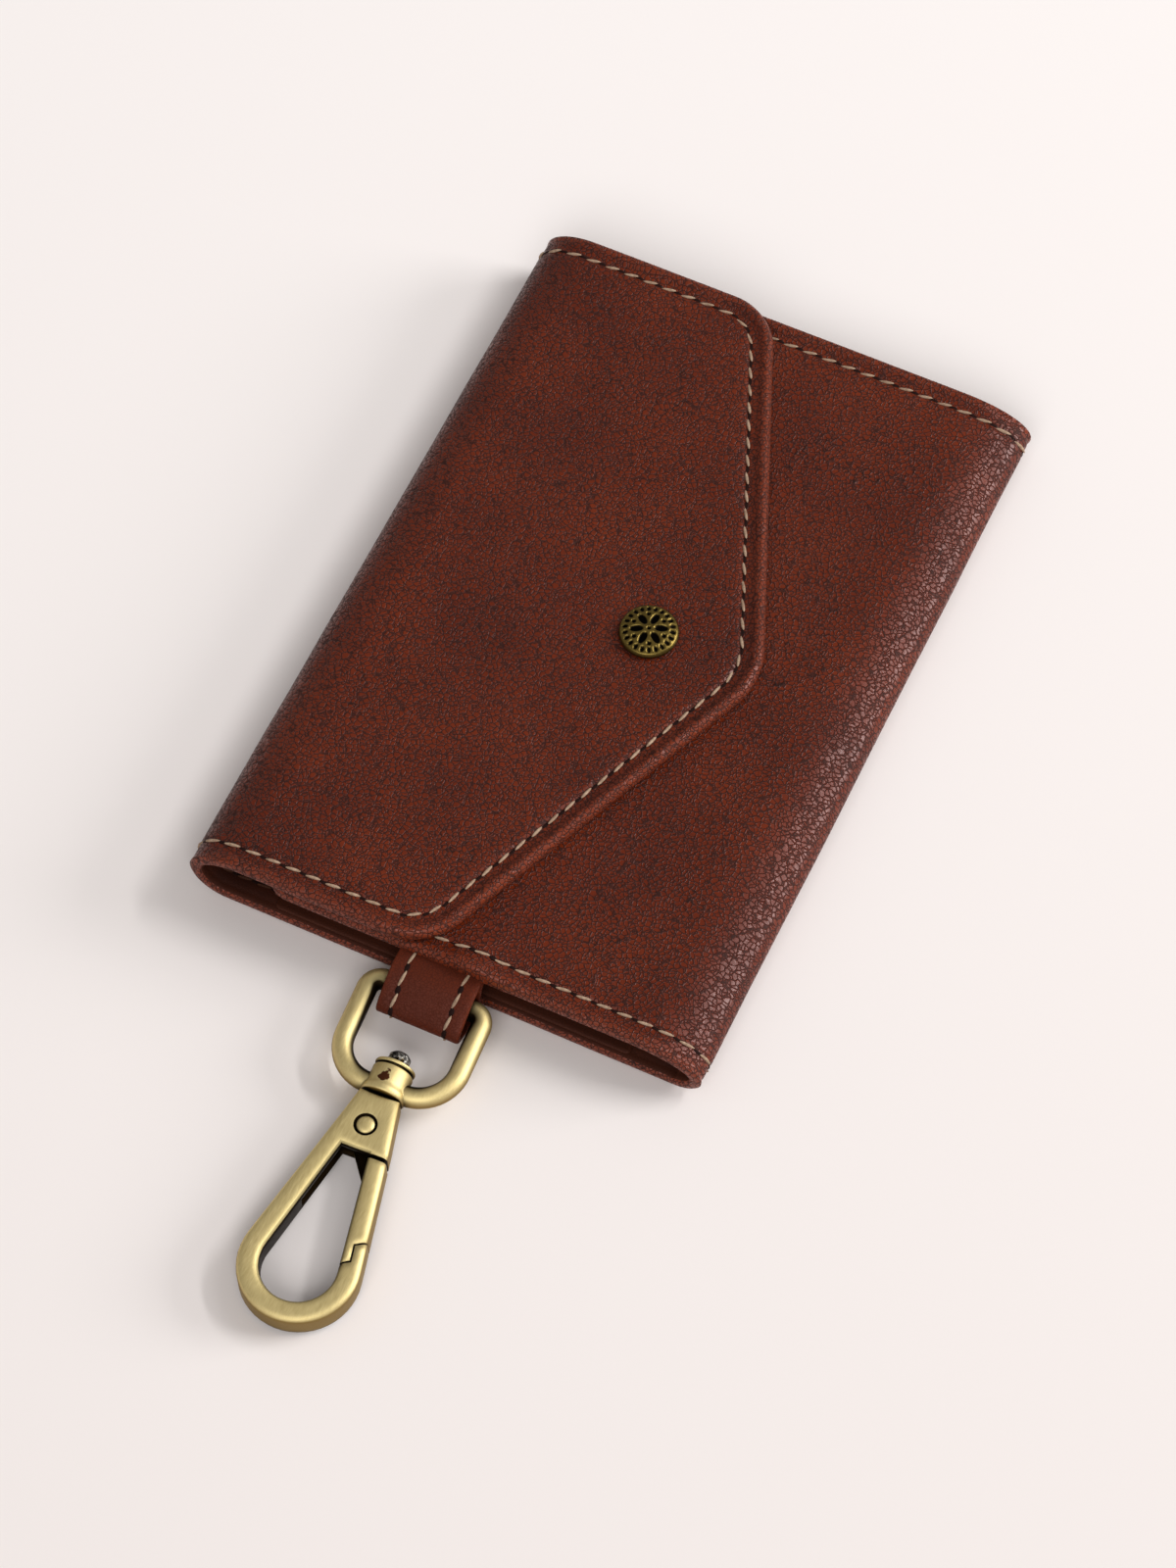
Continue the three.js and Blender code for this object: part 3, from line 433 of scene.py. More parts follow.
# Rolls the edges of the only face: profiles are [inset, height above the middle of the sheet].
# Returns the closed loop of points at the stitch line of the upper and of the lower side.
def rollEdges(bm, top, bottom, rowInset=None, liningInset=None):
    insetLayer = bm.verts.layers.float["inset"]
    upper = bm.faces[:][0]
    upper.normal_update()
    if upper.normal.z < 0:
        upper.normal_flip()
    copied = bmesh.ops.duplicate(bm, geom=[upper])["geom"]
    lower = next(f for f in copied if isinstance(f, bmesh.types.BMFace))
    lower.normal_flip()
    rows = []
    for face, profile, side in ((upper, top, 1), (lower, bottom, -1)):
        face.normal_update()
        lastInset, lastHeight = 0.0, 0.0
        for inset, height in profile:
            bmesh.ops.inset_region(
                bm, faces=[face], use_boundary=True, use_even_offset=True,
                thickness=inset - lastInset, depth=side * height - lastHeight)
            for vert in face.verts:
                vert[insetLayer] = inset
            if liningInset and side < 0 and inset >= liningInset:
                face.material_index = 1
            if inset == rowInset:
                rows.append([vert.co.copy() for vert in face.verts])
            lastInset, lastHeight = inset, side * height
    bmesh.ops.remove_doubles(bm, verts=bm.verts, dist=0.001)
    return rows


def cutAcross(bm, places, axis):
    normal = Vector((1, 0, 0)) if axis == 0 else Vector((0, 1, 0))
    for place in places:
        bmesh.ops.bisect_plane(
            bm, geom=bm.verts[:] + bm.edges[:] + bm.faces[:], dist=0.0005, plane_co=normal * place,
            plane_no=normal)


def steps(start, end, pitch):
    count = max(int(round((end - start) / pitch)), 1)
    return [start + (end - start) * i / count for i in range(count + 1)]


# Trims a flat sheet square, keeping what lies beyond the place, and closes the cut.
def trimSquare(bm, place):
    bmesh.ops.bisect_plane(
        bm, geom=bm.verts[:] + bm.edges[:] + bm.faces[:], dist=0.0005, plane_co=(place, 0, 0),
        plane_no=(1, 0, 0), clear_inner=True)
    bmesh.ops.holes_fill(bm, edges=[e for e in bm.edges if e.is_boundary], sides=0)


def keepFlat(bm):
    layer = bm.verts.layers.float_vector["flat"]
    for vert in bm.verts:
        vert[layer] = vert.co


# Bends flat points (u, v, height) onto a line. side is 1 where the line's left is the outer face, else -1.
def bendOnLine(bm, line, side, lift):
    for vert in bm.verts:
        u, v, height = vert.co
        point, tangent = alongLine(line, u)
        outward = Vector((-tangent.y, tangent.x)) * side
        reach = height + lift(u, v, height)
        vert.co = (point.x + outward.x * reach, v * side, point.y + outward.y * reach)


def swapXY(bm):
    for vert in bm.verts:
        vert.co = (vert.co.y, vert.co.x, vert.co.z)


def newSheet():
    bm = bmesh.new()
    bm.verts.layers.float_vector.new("flat")
    bm.verts.layers.float.new("inset")
    return bm


# Stitches: slanted grains of thread in a groove, with a dark mark between them as painted shade in the
# needle hole
stitchLook = {
    "pitch": 4.5, "length": 3.6, "width": 0.72, "height": 0.66, "slant": 10, "dip": 7,
    "holeLong": 0.95, "holeWide": 0.6, "holeHigh": 0.13, "holeLift": 0.03, "sides": 8, "rings": 6,
    "holeRings": 4, "stand": 0.2,
}


def grainMesh(radii, rings, materialIndex):
    bm = bmesh.new()
    upright = Matrix.Rotation(math.pi / 2, 4, "Y")
    bmesh.ops.create_uvsphere(
        bm, u_segments=stitchLook["sides"], v_segments=rings, radius=1,
        matrix=Matrix.Diagonal((*radii, 1)) @ upright)
    for face in bm.faces:
        face.material_index = materialIndex
    mesh = bpy.data.meshes.new("stitch")
    bm.to_mesh(mesh)
    bm.free()
    return mesh


threadRadii = [stitchLook[side] / 2 for side in ("length", "width", "height")]
holeRadii = [stitchLook[side] for side in ("holeLong", "holeWide", "holeHigh")]
creamGrain = grainMesh(threadRadii, stitchLook["rings"], 0)
bobbinGrain = grainMesh(threadRadii, stitchLook["rings"], 2)
paintedHoleMark = grainMesh(holeRadii, stitchLook["holeRings"], 1)


def addCopy(bm, mesh, matrix):
    copy = mesh.copy()
    copy.transform(matrix)
    bm.from_mesh(copy)
    bpy.data.meshes.remove(copy)


# The open stretch of a closed loop that lies beyond a place along the sheet.
def openRow(loop, place):
    count = len(loop)
    start = next(i for i in range(count) if loop[i - 1].x < place <= loop[i].x)
    row = []
    for k in range(count + 1):
        a, b = loop[(start + k - 1) % count], loop[(start + k) % count]
        if a.x < place <= b.x or b.x < place <= a.x:
            row.append(a.lerp(b, (place - a.x) / (b.x - a.x)))
        if b.x < place:
            break
        row.append(b)
    return row


def resample(points, pitch):
    reach = [0.0]
    for a, b in zip(points, points[1:]):
        reach.append(reach[-1] + (b - a).length)
    count = round(reach[-1] / pitch)
    places = []
    for k in range(count + 1):
        at = reach[-1] * k / count
        i = min(max(bisect.bisect_right(reach, at) - 1, 0), len(points) - 2)
        places.append(points[i].lerp(points[i + 1], (at - reach[i]) / (reach[i + 1] - reach[i])))
    return places


# side is 1 for the outer row in cream thread and -1 for the inner row in bobbin thread.
def sewRow(bm, points, side):
    look = stitchLook
    places = resample(points, look["pitch"])
    grain = creamGrain if side > 0 else bobbinGrain
    for a, b in zip(places, places[1:]):
        heading = math.atan2(b.y - a.y, b.x - a.x)
        middle = Matrix.Translation((a + b) / 2 + Vector((0, 0, side * look["height"] * look["stand"])))
        slanted = Matrix.Rotation(heading + math.radians(look["slant"]) * side, 4, "Z")
        dipped = Matrix.Rotation(math.radians(look["dip"]) * side, 4, "Y")
        addCopy(bm, grain, middle @ slanted @ dipped)
        # a dark flattened mark at each needle hole: painted shade
        seat = Matrix.Translation(a + Vector((0, 0, side * look["holeLift"])))
        addCopy(bm, paintedHoleMark, seat @ Matrix.Rotation(heading, 4, "Z"))


# The leather isn't quite flat: [wavelength, height] of a long and a short wave.
waveLook = {"long": (38, 0.16), "short": (13, 0.06), "fadeIn": (0, 6)}


def waves(u, v, seed):
    height = 0.0
    for (length, high), shift in ((waveLook["long"], 0), (waveLook["short"], 7)):
        height += high * noise.noise(Vector((u / length, v / length, seed + shift)))
    return height * smoothStep(*waveLook["fadeIn"], u)


# The turned edge: a bead round the rim, a flat land and the groove that the thread pulls in.
turnedEdge = {
    "row": 4.8, "lining": 0.5, "foldLevel": 1.3,
    "top": [(0.05, 0.55), (0.2, 1.02), (0.5, 1.48), (0.95, 1.8), (1.5, 1.92), (2.05, 1.82), (2.55, 1.52),
            (3.05, 1.2), (3.7, 1.0), (4.4, 0.94), (4.8, 0.86), (5.1, 1.02), (5.5, 1.3), (5.9, 1.45)],
    "bottom": [(0.05, -0.5), (0.2, -0.9), (0.5, -1.2), (0.95, -1.38), (1.6, -1.42), (2.3, -1.4),
               (2.4, -1.45), (4.4, -1.42), (4.8, -1.3), (5.2, -1.42), (5.8, -1.45)],
    "levelFrom": (0.3, 1.2), "levelTo": (5.2, 5.9),
}


# How far the rolled edge is pressed level where the strip is folded, at a distance from the edge.
def pressLevel(inset):
    heights = turnedEdge["top"]
    if not heights[0][0] < inset < heights[-1][0]:
        return 0.0
    i = next(k for k in range(1, len(heights)) if heights[k][0] >= inset)
    (ax, az), (bx, bz) = heights[i - 1], heights[i]
    here = az + (bz - az) * (inset - ax) / (bx - ax)
    share = smoothStep(*turnedEdge["levelFrom"], inset) * (1 - smoothStep(*turnedEdge["levelTo"], inset))
    return share * (turnedEdge["foldLevel"] - here)


# How both strips are drawn and cut: a spare end that is trimmed off, where the sewing starts and how far
# apart the cuts are.
stripMesh = {"spare": 8, "runOut": 60, "sewFrom": 1.5, "foldPitch": 0.7, "acrossFrom": 6, "acrossPitch": 4}

# Back, flap fold and flap, one strip of leather. Cuts are given as start, stop and pitch.

flapStrip = {
    "seam": 51.35, "backLevel": 1.5, "flapLevel": 14.5, "halfLength": 86,
    "under": (-49.5, 8), "underRadii": (6.5, 6.5), "over": (-45.5, 8), "overRadii": (10.5, 6.5),
    "shoulder": -3.5, "shoulderRadius": 13, "point": 32.5, "pointRadius": 17, "snap": 6.3,
    "dimple": 0.28, "dimpleRim": (5.5, 10), "foldFrom": (-2, 4), "foldFade": 8, "seed": 3,
    "backCuts": (4, -3, 5), "flapCuts": (3, -4, 3),
}


def cutStrip(bm, half):
    reach = half - stripMesh["acrossFrom"]
    cutAcross(bm, steps(-reach, reach, stripMesh["acrossPitch"]), 1)


def makeFlapStrip():
    look = flapStrip
    half = look["halfLength"]
    points = [(look["seam"], look["backLevel"]), (look["under"][0], look["backLevel"])]
    points += ellipseArc(look["under"], look["underRadii"], 270, 180)[1:]
    points += ellipseArc(look["over"], look["overRadii"], 180, 90)[1:]
    foldEnd = len(points) - 1
    points.append((stripMesh["runOut"], look["flapLevel"]))
    line = makeLine(points)
    foldStart, flapStart = line["lengths"][1], line["lengths"][foldEnd]
    shoulder, tip, snap = (flapStart + look[k] - look["over"][0] for k in ("shoulder", "point", "snap"))
    bm = newSheet()
    roundedFace(bm, [
        (-stripMesh["spare"], -half, 0),
        (shoulder, -half, look["shoulderRadius"]),
        (tip, 0, look["pointRadius"]),
        (shoulder, half, look["shoulderRadius"]),
        (-stripMesh["spare"], half, 0),
    ])
    rows = rollEdges(bm, turnedEdge["top"], turnedEdge["bottom"], turnedEdge["row"], turnedEdge["lining"])
    trimSquare(bm, 0)
    first, last, pitch = look["backCuts"]
    cutAcross(bm, steps(first, foldStart + last, pitch), 0)
    cutAcross(bm, steps(foldStart, flapStart, stripMesh["foldPitch"]), 0)
    first, last, pitch = look["flapCuts"]
    cutAcross(bm, steps(flapStart + first, tip + last, pitch), 0)
    cutStrip(bm, half)
    keepFlat(bm)

    def lift(u, v, height):
        pressed = look["dimple"] * (1 - smoothStep(*look["dimpleRim"], math.hypot(u - snap, v)))
        begins = smoothStep(foldStart + look["foldFrom"][0], foldStart + look["foldFrom"][1], u)
        inFold = begins * (1 - smoothStep(flapStart - look["foldFade"], flapStart, u))
        level = inFold * pressLevel(half - abs(v)) if height > 0 else 0.0
        return waves(u, v, look["seed"]) - pressed + level

    bendOnLine(bm, line, 1, lift)
    leather = finishPiece(
        bm, "flap_and_back_leather", [outerLeather, liningLeatherShaded],
        ["back_panel", "back_board", "back_lining", "flap_fold", "flap_panel", "flap_board", "flap_lining"])
    sewn = bmesh.new()
    for row, side in zip(rows, (1, -1)):
        sewRow(sewn, openRow(row, stripMesh["sewFrom"]), side)
    bendOnLine(sewn, line, 1, lift)
    stitches = finishPiece(sewn, "flap_and_back_stitches", sewnMaterials)
    for piece in (leather, stitches):
        # named from the flap to the purse, so that a half turn bends the fold the right way round
        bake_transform(piece, "flap", "purse", start=(-0.056, 0, 0.0132), end=(-0.056, 0, 0.0028))


# Bottom fold and front, one strip of leather that swells where the clip's tab is sewn in

frontStrip = {
    "seam": 51.35, "backLevel": 1.5, "frontLevel": 11.1, "halfLength": 86, "freeEdge": -41, "corner": 6,
    "under": (51.5, 5.2), "underRadii": (4.5, 3.7), "over": (41.5, 5.2), "overRadii": (14.5, 5.9),
    "swell": 1.3, "swellFrom": (-1.0, 5.0), "swellTo": (8.8, 12.0), "swellFade": (3, 11),
    "swellBelow": -0.3, "pucker": 1.0, "puckerAt": 13.0, "puckerWide": 1.8, "puckerFade": (1, 8),
    "beadTop": 1.74, "foldFrom": (0, 3), "foldFade": (10, 1), "seed": 11,
    "outerAbove": -0.2, "foldCut": 0.6, "frontCuts": (2.5, -4, 2.5),
}


def makeFrontStrip():
    look = frontStrip
    half = look["halfLength"]
    points = [(look["seam"], look["backLevel"])]
    points += ellipseArc(look["under"], look["underRadii"], 270, 360)
    points += ellipseArc(look["over"], look["overRadii"], 0, 90)[1:]
    foldEnd = len(points) - 1
    points.append((-stripMesh["runOut"], look["frontLevel"]))
    line = makeLine(points)
    frontStart = line["lengths"][foldEnd]
    end = frontStart + look["over"][0] - look["freeEdge"]
    bm = newSheet()
    roundedFace(bm, [
        (-stripMesh["spare"], -half, 0), (end, -half, look["corner"]), (end, half, look["corner"]),
        (-stripMesh["spare"], half, 0)])
    top = [(inset, min(height, look["beadTop"])) for inset, height in turnedEdge["top"]]
    rows = rollEdges(bm, top, turnedEdge["bottom"], turnedEdge["row"], turnedEdge["lining"])
    trimSquare(bm, 0)
    cutAcross(bm, steps(look["foldCut"], frontStart, stripMesh["foldPitch"]), 0)
    first, last, pitch = look["frontCuts"]
    cutAcross(bm, steps(frontStart + first, end + last, pitch), 0)
    cutStrip(bm, half)
    keepFlat(bm)

    def lift(u, v, height):
        x = look["over"][0] - (u - frontStart)
        fromEnd = half - v  # the near end is at y = -half, which is v = half
        overTab = smoothStep(*look["swellFrom"], x) * (1 - smoothStep(*look["swellTo"], x))
        gather = math.exp(-((x - look["puckerAt"]) / look["puckerWide"]) ** 2)
        swell = look["swell"] * overTab * (1 - smoothStep(*look["swellFade"], fromEnd))
        swell += look["pucker"] * gather * (1 - smoothStep(*look["puckerFade"], fromEnd))
        fades = [frontStart - mm for mm in look["foldFade"]]
        inFold = smoothStep(*look["foldFrom"], u) * (1 - smoothStep(*fades, u))
        level = inFold * pressLevel(half - abs(v)) if height > 0 else 0.0
        outer = height > look["outerAbove"]
        return waves(u, v, look["seed"]) + (swell if outer else look["swellBelow"] * swell) + level

    bendOnLine(bm, line, -1, lift)
    leather = finishPiece(
        bm, "front_leather", [outerLeather, liningLeatherShaded],
        ["bottom_fold", "front_panel", "front_board", "front_lining"])
    sewn = bmesh.new()
    for row, side in zip(rows, (1, -1)):
        sewRow(sewn, openRow(row, stripMesh["sewFrom"]), side)
    bendOnLine(sewn, line, -1, lift)
    stitches = finishPiece(sewn, "front_stitches", sewnMaterials)
    for piece in (leather, stitches):
        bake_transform(piece, "purse", "front", start=(0.053, 0, 0.0126), end=(0.0405, 0, 0.0126))


# Pleated ends of the compartment

gussetLook = {
    "rim": 85, "crease": 81, "valley": 72.4, "top": 9.1, "bottom": 3.5, "middle": 6.3,
    "belly": 1.25, "sag": 0.1, "from": -38.6, "to": 41.2,
    "edge": [(0.08, 0.26), (0.3, 0.4), (1.0, 0.4)], "wave": 0.25, "waveLong": 7, "waveAcross": 16,
    "tailHalf": (9.3, 12), "tailFrom": (7.6, 9), "tailDeep": 1.0, "seed": 5,
    "corner": 1, "cornerSteps": 4, "cutsFrom": (1.5, 2), "cutPitch": (0.8, 4),
}


def makeGusset(end, name, node):
    look = gussetLook
    land = (look["rim"] + look["crease"]) / 2
    slope = (look["crease"] + look["valley"]) / 2
    profile = [
        (look["rim"], look["top"]), (land, look["top"]), (look["crease"], look["top"] - look["sag"]),
        (slope, look["middle"] + look["belly"]), (look["valley"], look["middle"]),
        (slope, look["middle"] - look["belly"]), (look["crease"], look["bottom"] + look["sag"]),
        (land, look["bottom"]), (look["rim"], look["bottom"]),
    ]
    line = makeLine(throughPoints([(end * y, z) for y, z in profile]))
    length = line["lengths"][-1]
    bm = newSheet()
    corners = [(0, look["from"]), (length, look["from"]), (length, look["to"]), (0, look["to"])]
    roundedFace(bm, [(*corner, look["corner"]) for corner in corners], look["cornerSteps"])
    rollEdges(bm, look["edge"], [(i, -h) for i, h in look["edge"]])
    for axis, (start, stop) in enumerate(((0, length), (look["from"], look["to"]))):
        margin = look["cutsFrom"][axis]
        cutAcross(bm, steps(start + margin, stop - margin, look["cutPitch"][axis]), axis)
    keepFlat(bm)

    def lift(u, v, height):
        place = Vector((u / look["waveLong"], v / look["waveAcross"], end * look["seed"]))
        return look["wave"] * noise.noise(place)

    bendOnLine(bm, line, 1, lift)
    swapXY(bm)
    if end < 0:  # the near pleat gives way under the tab's tail
        for vert in bm.verts:
            underTail = 1 - smoothStep(*look["tailHalf"], abs(vert.co.x))
            vert.co.z -= look["tailDeep"] * smoothStep(*look["tailFrom"], vert.co.z) * underTail
    piece = finishPiece(bm, name, [liningLeatherShaded], [node])
    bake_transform(piece, "purse", "front", start=(0, 0, 0.0031), end=(0, 0, 0.0095))


# Leather tab round the ring's bar, with cut edges and two rows of stitches

tabLook = {
    "line": [(-78, 10.4), (-82, 10.4), (-86, 10.4), (-91, 9.7), (-97.4, 4.7), (-91, 2.1), (-88.31, 3.21),
             (-87.2, 5.9), (-86, 9.1), (-82, 9.1), (-78, 9.1)],
    "half": 9.3, "rows": (-6, 6), "edge": [(0.06, 0.3), (0.2, 0.5), (0.5, 0.6), (1.4, 0.6)],
    "corner": 0.5, "cornerSteps": 3, "cutsFrom": 1.6, "cutPitch": 0.6,
    "cuts": [0, 3, 5.2, 5.6, 6, 6.4, 6.8, 7.6], "sewFrom": 2, "sewHeight": 0.5,
    "grooveWide": 0.5, "grooveTop": -0.14, "grooveBelow": 0.1, "wave": 0.06, "waveLong": 5, "seed": 21,
}


def makeTab():
    look = tabLook
    half = look["half"]
    line = makeLine(throughPoints(look["line"], 10))
    length = line["lengths"][-1]
    bm = newSheet()
    corners = [(0, -half), (length, -half), (length, half), (0, half)]
    roundedFace(bm, [(*corner, look["corner"]) for corner in corners], look["cornerSteps"])
    rollEdges(bm, look["edge"], [(i, -h) for i, h in look["edge"]])
    cutAcross(bm, steps(look["cutsFrom"], length - look["cutsFrom"], look["cutPitch"]), 0)
    cutAcross(bm, [-place for place in reversed(look["cuts"][1:])] + look["cuts"], 1)
    keepFlat(bm)

    def lift(u, v, height):
        groove = sum(math.exp(-((v - row) / look["grooveWide"]) ** 2) for row in look["rows"])
        deep = look["grooveTop"] if height > 0 else look["grooveBelow"]
        wave = noise.noise(Vector((u / look["waveLong"], v / look["waveLong"], look["seed"])))
        return deep * groove + look["wave"] * wave

    bendOnLine(bm, line, -1, lift)
    swapXY(bm)
    leather = finishPiece(bm, "tab_leather", [tabLeather], ["clip_tab"])
    sewn = bmesh.new()
    for row in look["rows"]:
        for side in (1, -1):
            high = side * look["sewHeight"]
            ends = (look["sewFrom"], length - look["sewFrom"])
            sewRow(sewn, [Vector((place, row, high)) for place in ends], side)
    bendOnLine(sewn, line, -1, lambda u, v, height: 0)
    swapXY(sewn)
    stitches = finishPiece(sewn, "tab_stitches", sewnMaterials)
    for piece in (leather, stitches):
        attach(piece, "front")


makeFlapStrip()
makeFrontStrip()
makeGusset(-1, "near_gusset_pleat", "near_gusset")
makeGusset(1, "far_gusset_pleat", "far_gusset")
makeTab()


# How metal is merged and shaded: angles in degrees, past which an edge stays sharp.
metalFinish = {"mergeMm": 0.002, "turnedSharp": 40, "castSharp": 50, "flatWithin": 0.4}


# Spins a profile of points about an axis through the origin.
def spinProfile(bm, points, axis, count, closed=False):
    chain = [bm.verts.new(p) for p in points]
    edges = [bm.edges.new(pair) for pair in zip(chain, chain[1:])]
    if closed:
        edges.append(bm.edges.new((chain[-1], chain[0])))
    bmesh.ops.spin(
        bm, geom=chain + edges, cent=(0, 0, 0), axis=axis, angle=2 * math.pi, steps=count, use_merge=True)
    bmesh.ops.remove_doubles(bm, verts=bm.verts, dist=metalFinish["mergeMm"])


# Snap cap: a stamped dome with six petals and rings of dots

capPiece = {
    "place": (6.3, 0), "base": 16.02, "rim": 16.75, "radius": 6.35, "dome": 1.5, "turn": 25, "sides": 144,
    "petals": 6, "petalAt": 2.6, "petalLong": 1.62, "petalWide": 0.86, "petalDeep": 0.4,
    "dotAt": 3.6, "dotRadius": 0.55, "rimDots": 22, "rimDotAt": 5.0, "rimDotLong": 0.72, "rimDotWide": 0.52,
    "dotDeep": 0.32, "centreDot": 0.5, "ovalSoft": (0.66, 1.05), "dotSoft": (0.6, 1.0), "patina": 1.2,
    "skirt": [(-0.35, 0), (-0.05, 0.15), (0, 0.4)], "lip": [(-0.04, -0.1), (-0.16, 0.06)],
    "domeInset": 0.3, "domeLift": 0.1, "domeRings": 44,
}


def ovalDepth(across, along, wide, long):
    return 1 - smoothStep(*capPiece["ovalSoft"], math.hypot(across / wide, along / long))


def capRecess(r, angle):
    look = capPiece
    depths = [(1 - smoothStep(*look["dotSoft"], r / look["centreDot"])) * look["dotDeep"]]
    for k in range(look["petals"]):
        for kind, turn in (("petal", 0), ("dot", 0.5)):
            a = angle - math.radians(look["turn"]) - (k + turn) * 2 * math.pi / look["petals"]
            along, across = r * math.cos(a), r * math.sin(a)
            if kind == "petal":
                depth = ovalDepth(across, along - look["petalAt"], look["petalWide"], look["petalLong"])
                depths.append(depth * look["petalDeep"])
            else:
                depth = ovalDepth(across, along - look["dotAt"], look["dotRadius"], look["dotRadius"])
                depths.append(depth * look["dotDeep"])
    step = 2 * math.pi / look["rimDots"]
    a = (angle + step / 2) % step - step / 2
    along, across = r * math.cos(a) - look["rimDotAt"], r * math.sin(a)
    depths.append(ovalDepth(across, along, look["rimDotWide"], look["rimDotLong"]) * look["dotDeep"])
    return max(depths)


def makeSnapCap():
    look = capPiece
    bm = bmesh.new()
    layer = bm.verts.layers.float.new("patina")
    radius = look["radius"]
    base, rim = look["base"], look["rim"]
    profile = [(0.0, base)]
    profile += [(radius + out, base + up) for out, up in look["skirt"]]
    profile += [(radius + out, rim + up) for out, up in look["lip"]]
    domeEdge = radius - look["domeInset"]
    domeHigh = look["dome"] - look["domeLift"]
    for i in range(look["domeRings"] + 1):
        r = domeEdge * (1 - i / look["domeRings"])
        profile.append((r, rim + look["domeLift"] + domeHigh * math.sqrt(1 - (r / radius) ** 2)))
    spinProfile(bm, [(r, 0, z) for r, z in profile], (0, 0, 1), look["sides"])
    for vert in bm.verts:
        r = math.hypot(vert.co.x, vert.co.y)
        if vert.co.z > rim and r < domeEdge:
            depth = capRecess(r, math.atan2(vert.co.y, vert.co.x))
            vert.co.z -= depth
            vert[layer] = look["patina"] * depth / look["petalDeep"]
    bmesh.ops.translate(bm, vec=(*look["place"], 0), verts=bm.verts)
    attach(finishPiece(bm, "snap_cap_stamped", [capBrass], ["snap_cap"]), "flap")


makeSnapCap()


# The clip lies askew and tips down from the ring's bar. Its own frame has the bar along X and the hook
# along -Y.
clipPlace = {"bar": (-0.4, -91, 5.9), "yaw": 3, "tilt": 1.971}
clipTurn = Matrix.Rotation(math.radians(clipPlace["yaw"]), 4, "Z")
clipTurn @= Matrix.Rotation(math.radians(clipPlace["tilt"]), 4, "X")
toClip = Matrix.Translation(clipPlace["bar"]) @ clipTurn


# Ring and collar: round wire bent to a D, closed by the collar that the pin turns in

ringLook = {
    "wire": 4.4, "half": 12.4, "bow": -22.3, "bowRadius": 8.5, "corner": 3, "wireEnd": 2.85,
    "sides": 28, "bendSteps": 14, "collarSides": 56,
    "wornInside": 0.8, "insideFrom": (0.25, 0.9), "patinaAndShadeBeside": 0.75, "besideFrom": (-0.6, 0.5),
    "byCollar": (5.5, 10.5), "shadeByTab": (-7.5, -3.5),
    "collar": [(1.75, -18.4), (3.8, -18.4), (4.15, -18.5), (4.3, -18.8), (4.3, -22.1), (4.36, -22.5),
               (4.62, -23.1), (4.72, -23.4), (4.72, -24.25), (4.6, -24.5), (4.4, -24.6), (1.75, -24.6)],
}


def makeRing():
    look = ringLook
    bm = bmesh.new()
    layer = bm.verts.layers.float.new("patina")
    start = Matrix.Translation((-look["wireEnd"], look["bow"], 0)) @ Matrix.Rotation(math.pi / 2, 4, "Y")
    circle = bmesh.ops.create_circle(bm, segments=look["sides"], radius=look["wire"] / 2, matrix=start)
    front = list({e for vert in circle["verts"] for e in vert.link_edges})

    def straight(edges, move):
        grown = bmesh.ops.extrude_edge_only(bm, edges=edges)["geom"]
        bmesh.ops.translate(bm, vec=move, verts=[v for v in grown if isinstance(v, bmesh.types.BMVert)])
        return [e for e in grown if isinstance(e, bmesh.types.BMEdge) and e.is_boundary]

    def turn(edges, centre):
        grown = bmesh.ops.spin(
            bm, geom=edges, cent=(*centre, 0), axis=(0, 0, 1), angle=-math.pi / 2, steps=look["bendSteps"])
        return [e for e in grown["geom_last"] if isinstance(e, bmesh.types.BMEdge)]

    bowX, cornerX = look["half"] - look["bowRadius"], look["half"] - look["corner"]
    bowY = look["bow"] + look["bowRadius"]
    cornerY = -look["corner"]
    bends = [
        ((look["wireEnd"] - bowX, 0, 0), (-bowX, bowY)),
        ((0, cornerY - bowY, 0), (-cornerX, cornerY)),
        ((2 * cornerX, 0, 0), (cornerX, cornerY)),
        ((0, bowY - cornerY, 0), (bowX, bowY)),
    ]
    for move, centre in bends:
        front = turn(straight(front, move), centre)
    straight(front, (look["wireEnd"] - bowX, 0, 0))
    bmesh.ops.holes_fill(bm, edges=[e for e in bm.edges if e.is_boundary], sides=0)
    bmesh.ops.recalc_face_normals(bm, faces=bm.faces)
    bm.normal_update()
    middle = Vector((0, look["bow"] / 2, 0))
    for vert in bm.verts:
        inward = (middle - vert.co).normalized().dot(vert.normal)
        byCollar = 1 - smoothStep(*look["byCollar"], abs(vert.co.x)) if vert.co.y < middle.y else 0.0
        # patina by the collar; beside the tab, painted shade where the tab covers the bar
        beside = max(byCollar, smoothStep(*look["shadeByTab"], vert.co.y))
        inside = look["wornInside"] * smoothStep(*look["insideFrom"], inward)
        vert[layer] = inside + look["patinaAndShadeBeside"] * beside * smoothStep(*look["besideFrom"], inward)
    before = set(bm.faces)
    spinProfile(bm, [(r, y, 0) for r, y in look["collar"]], (0, 1, 0), look["collarSides"], closed=True)
    for face in set(bm.faces) - before:
        face.material_index = 1
    bmesh.ops.transform(bm, matrix=toClip, verts=bm.verts)
    ring = finishPiece(
        bm, "ring_wire_and_collar", [antiqueBrass, collarBrass], ["swivel_ring"],
        metalFinish["turnedSharp"])
    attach(ring, "ring")


makeRing()


# Washer on the collar and rivet of the gate, turned

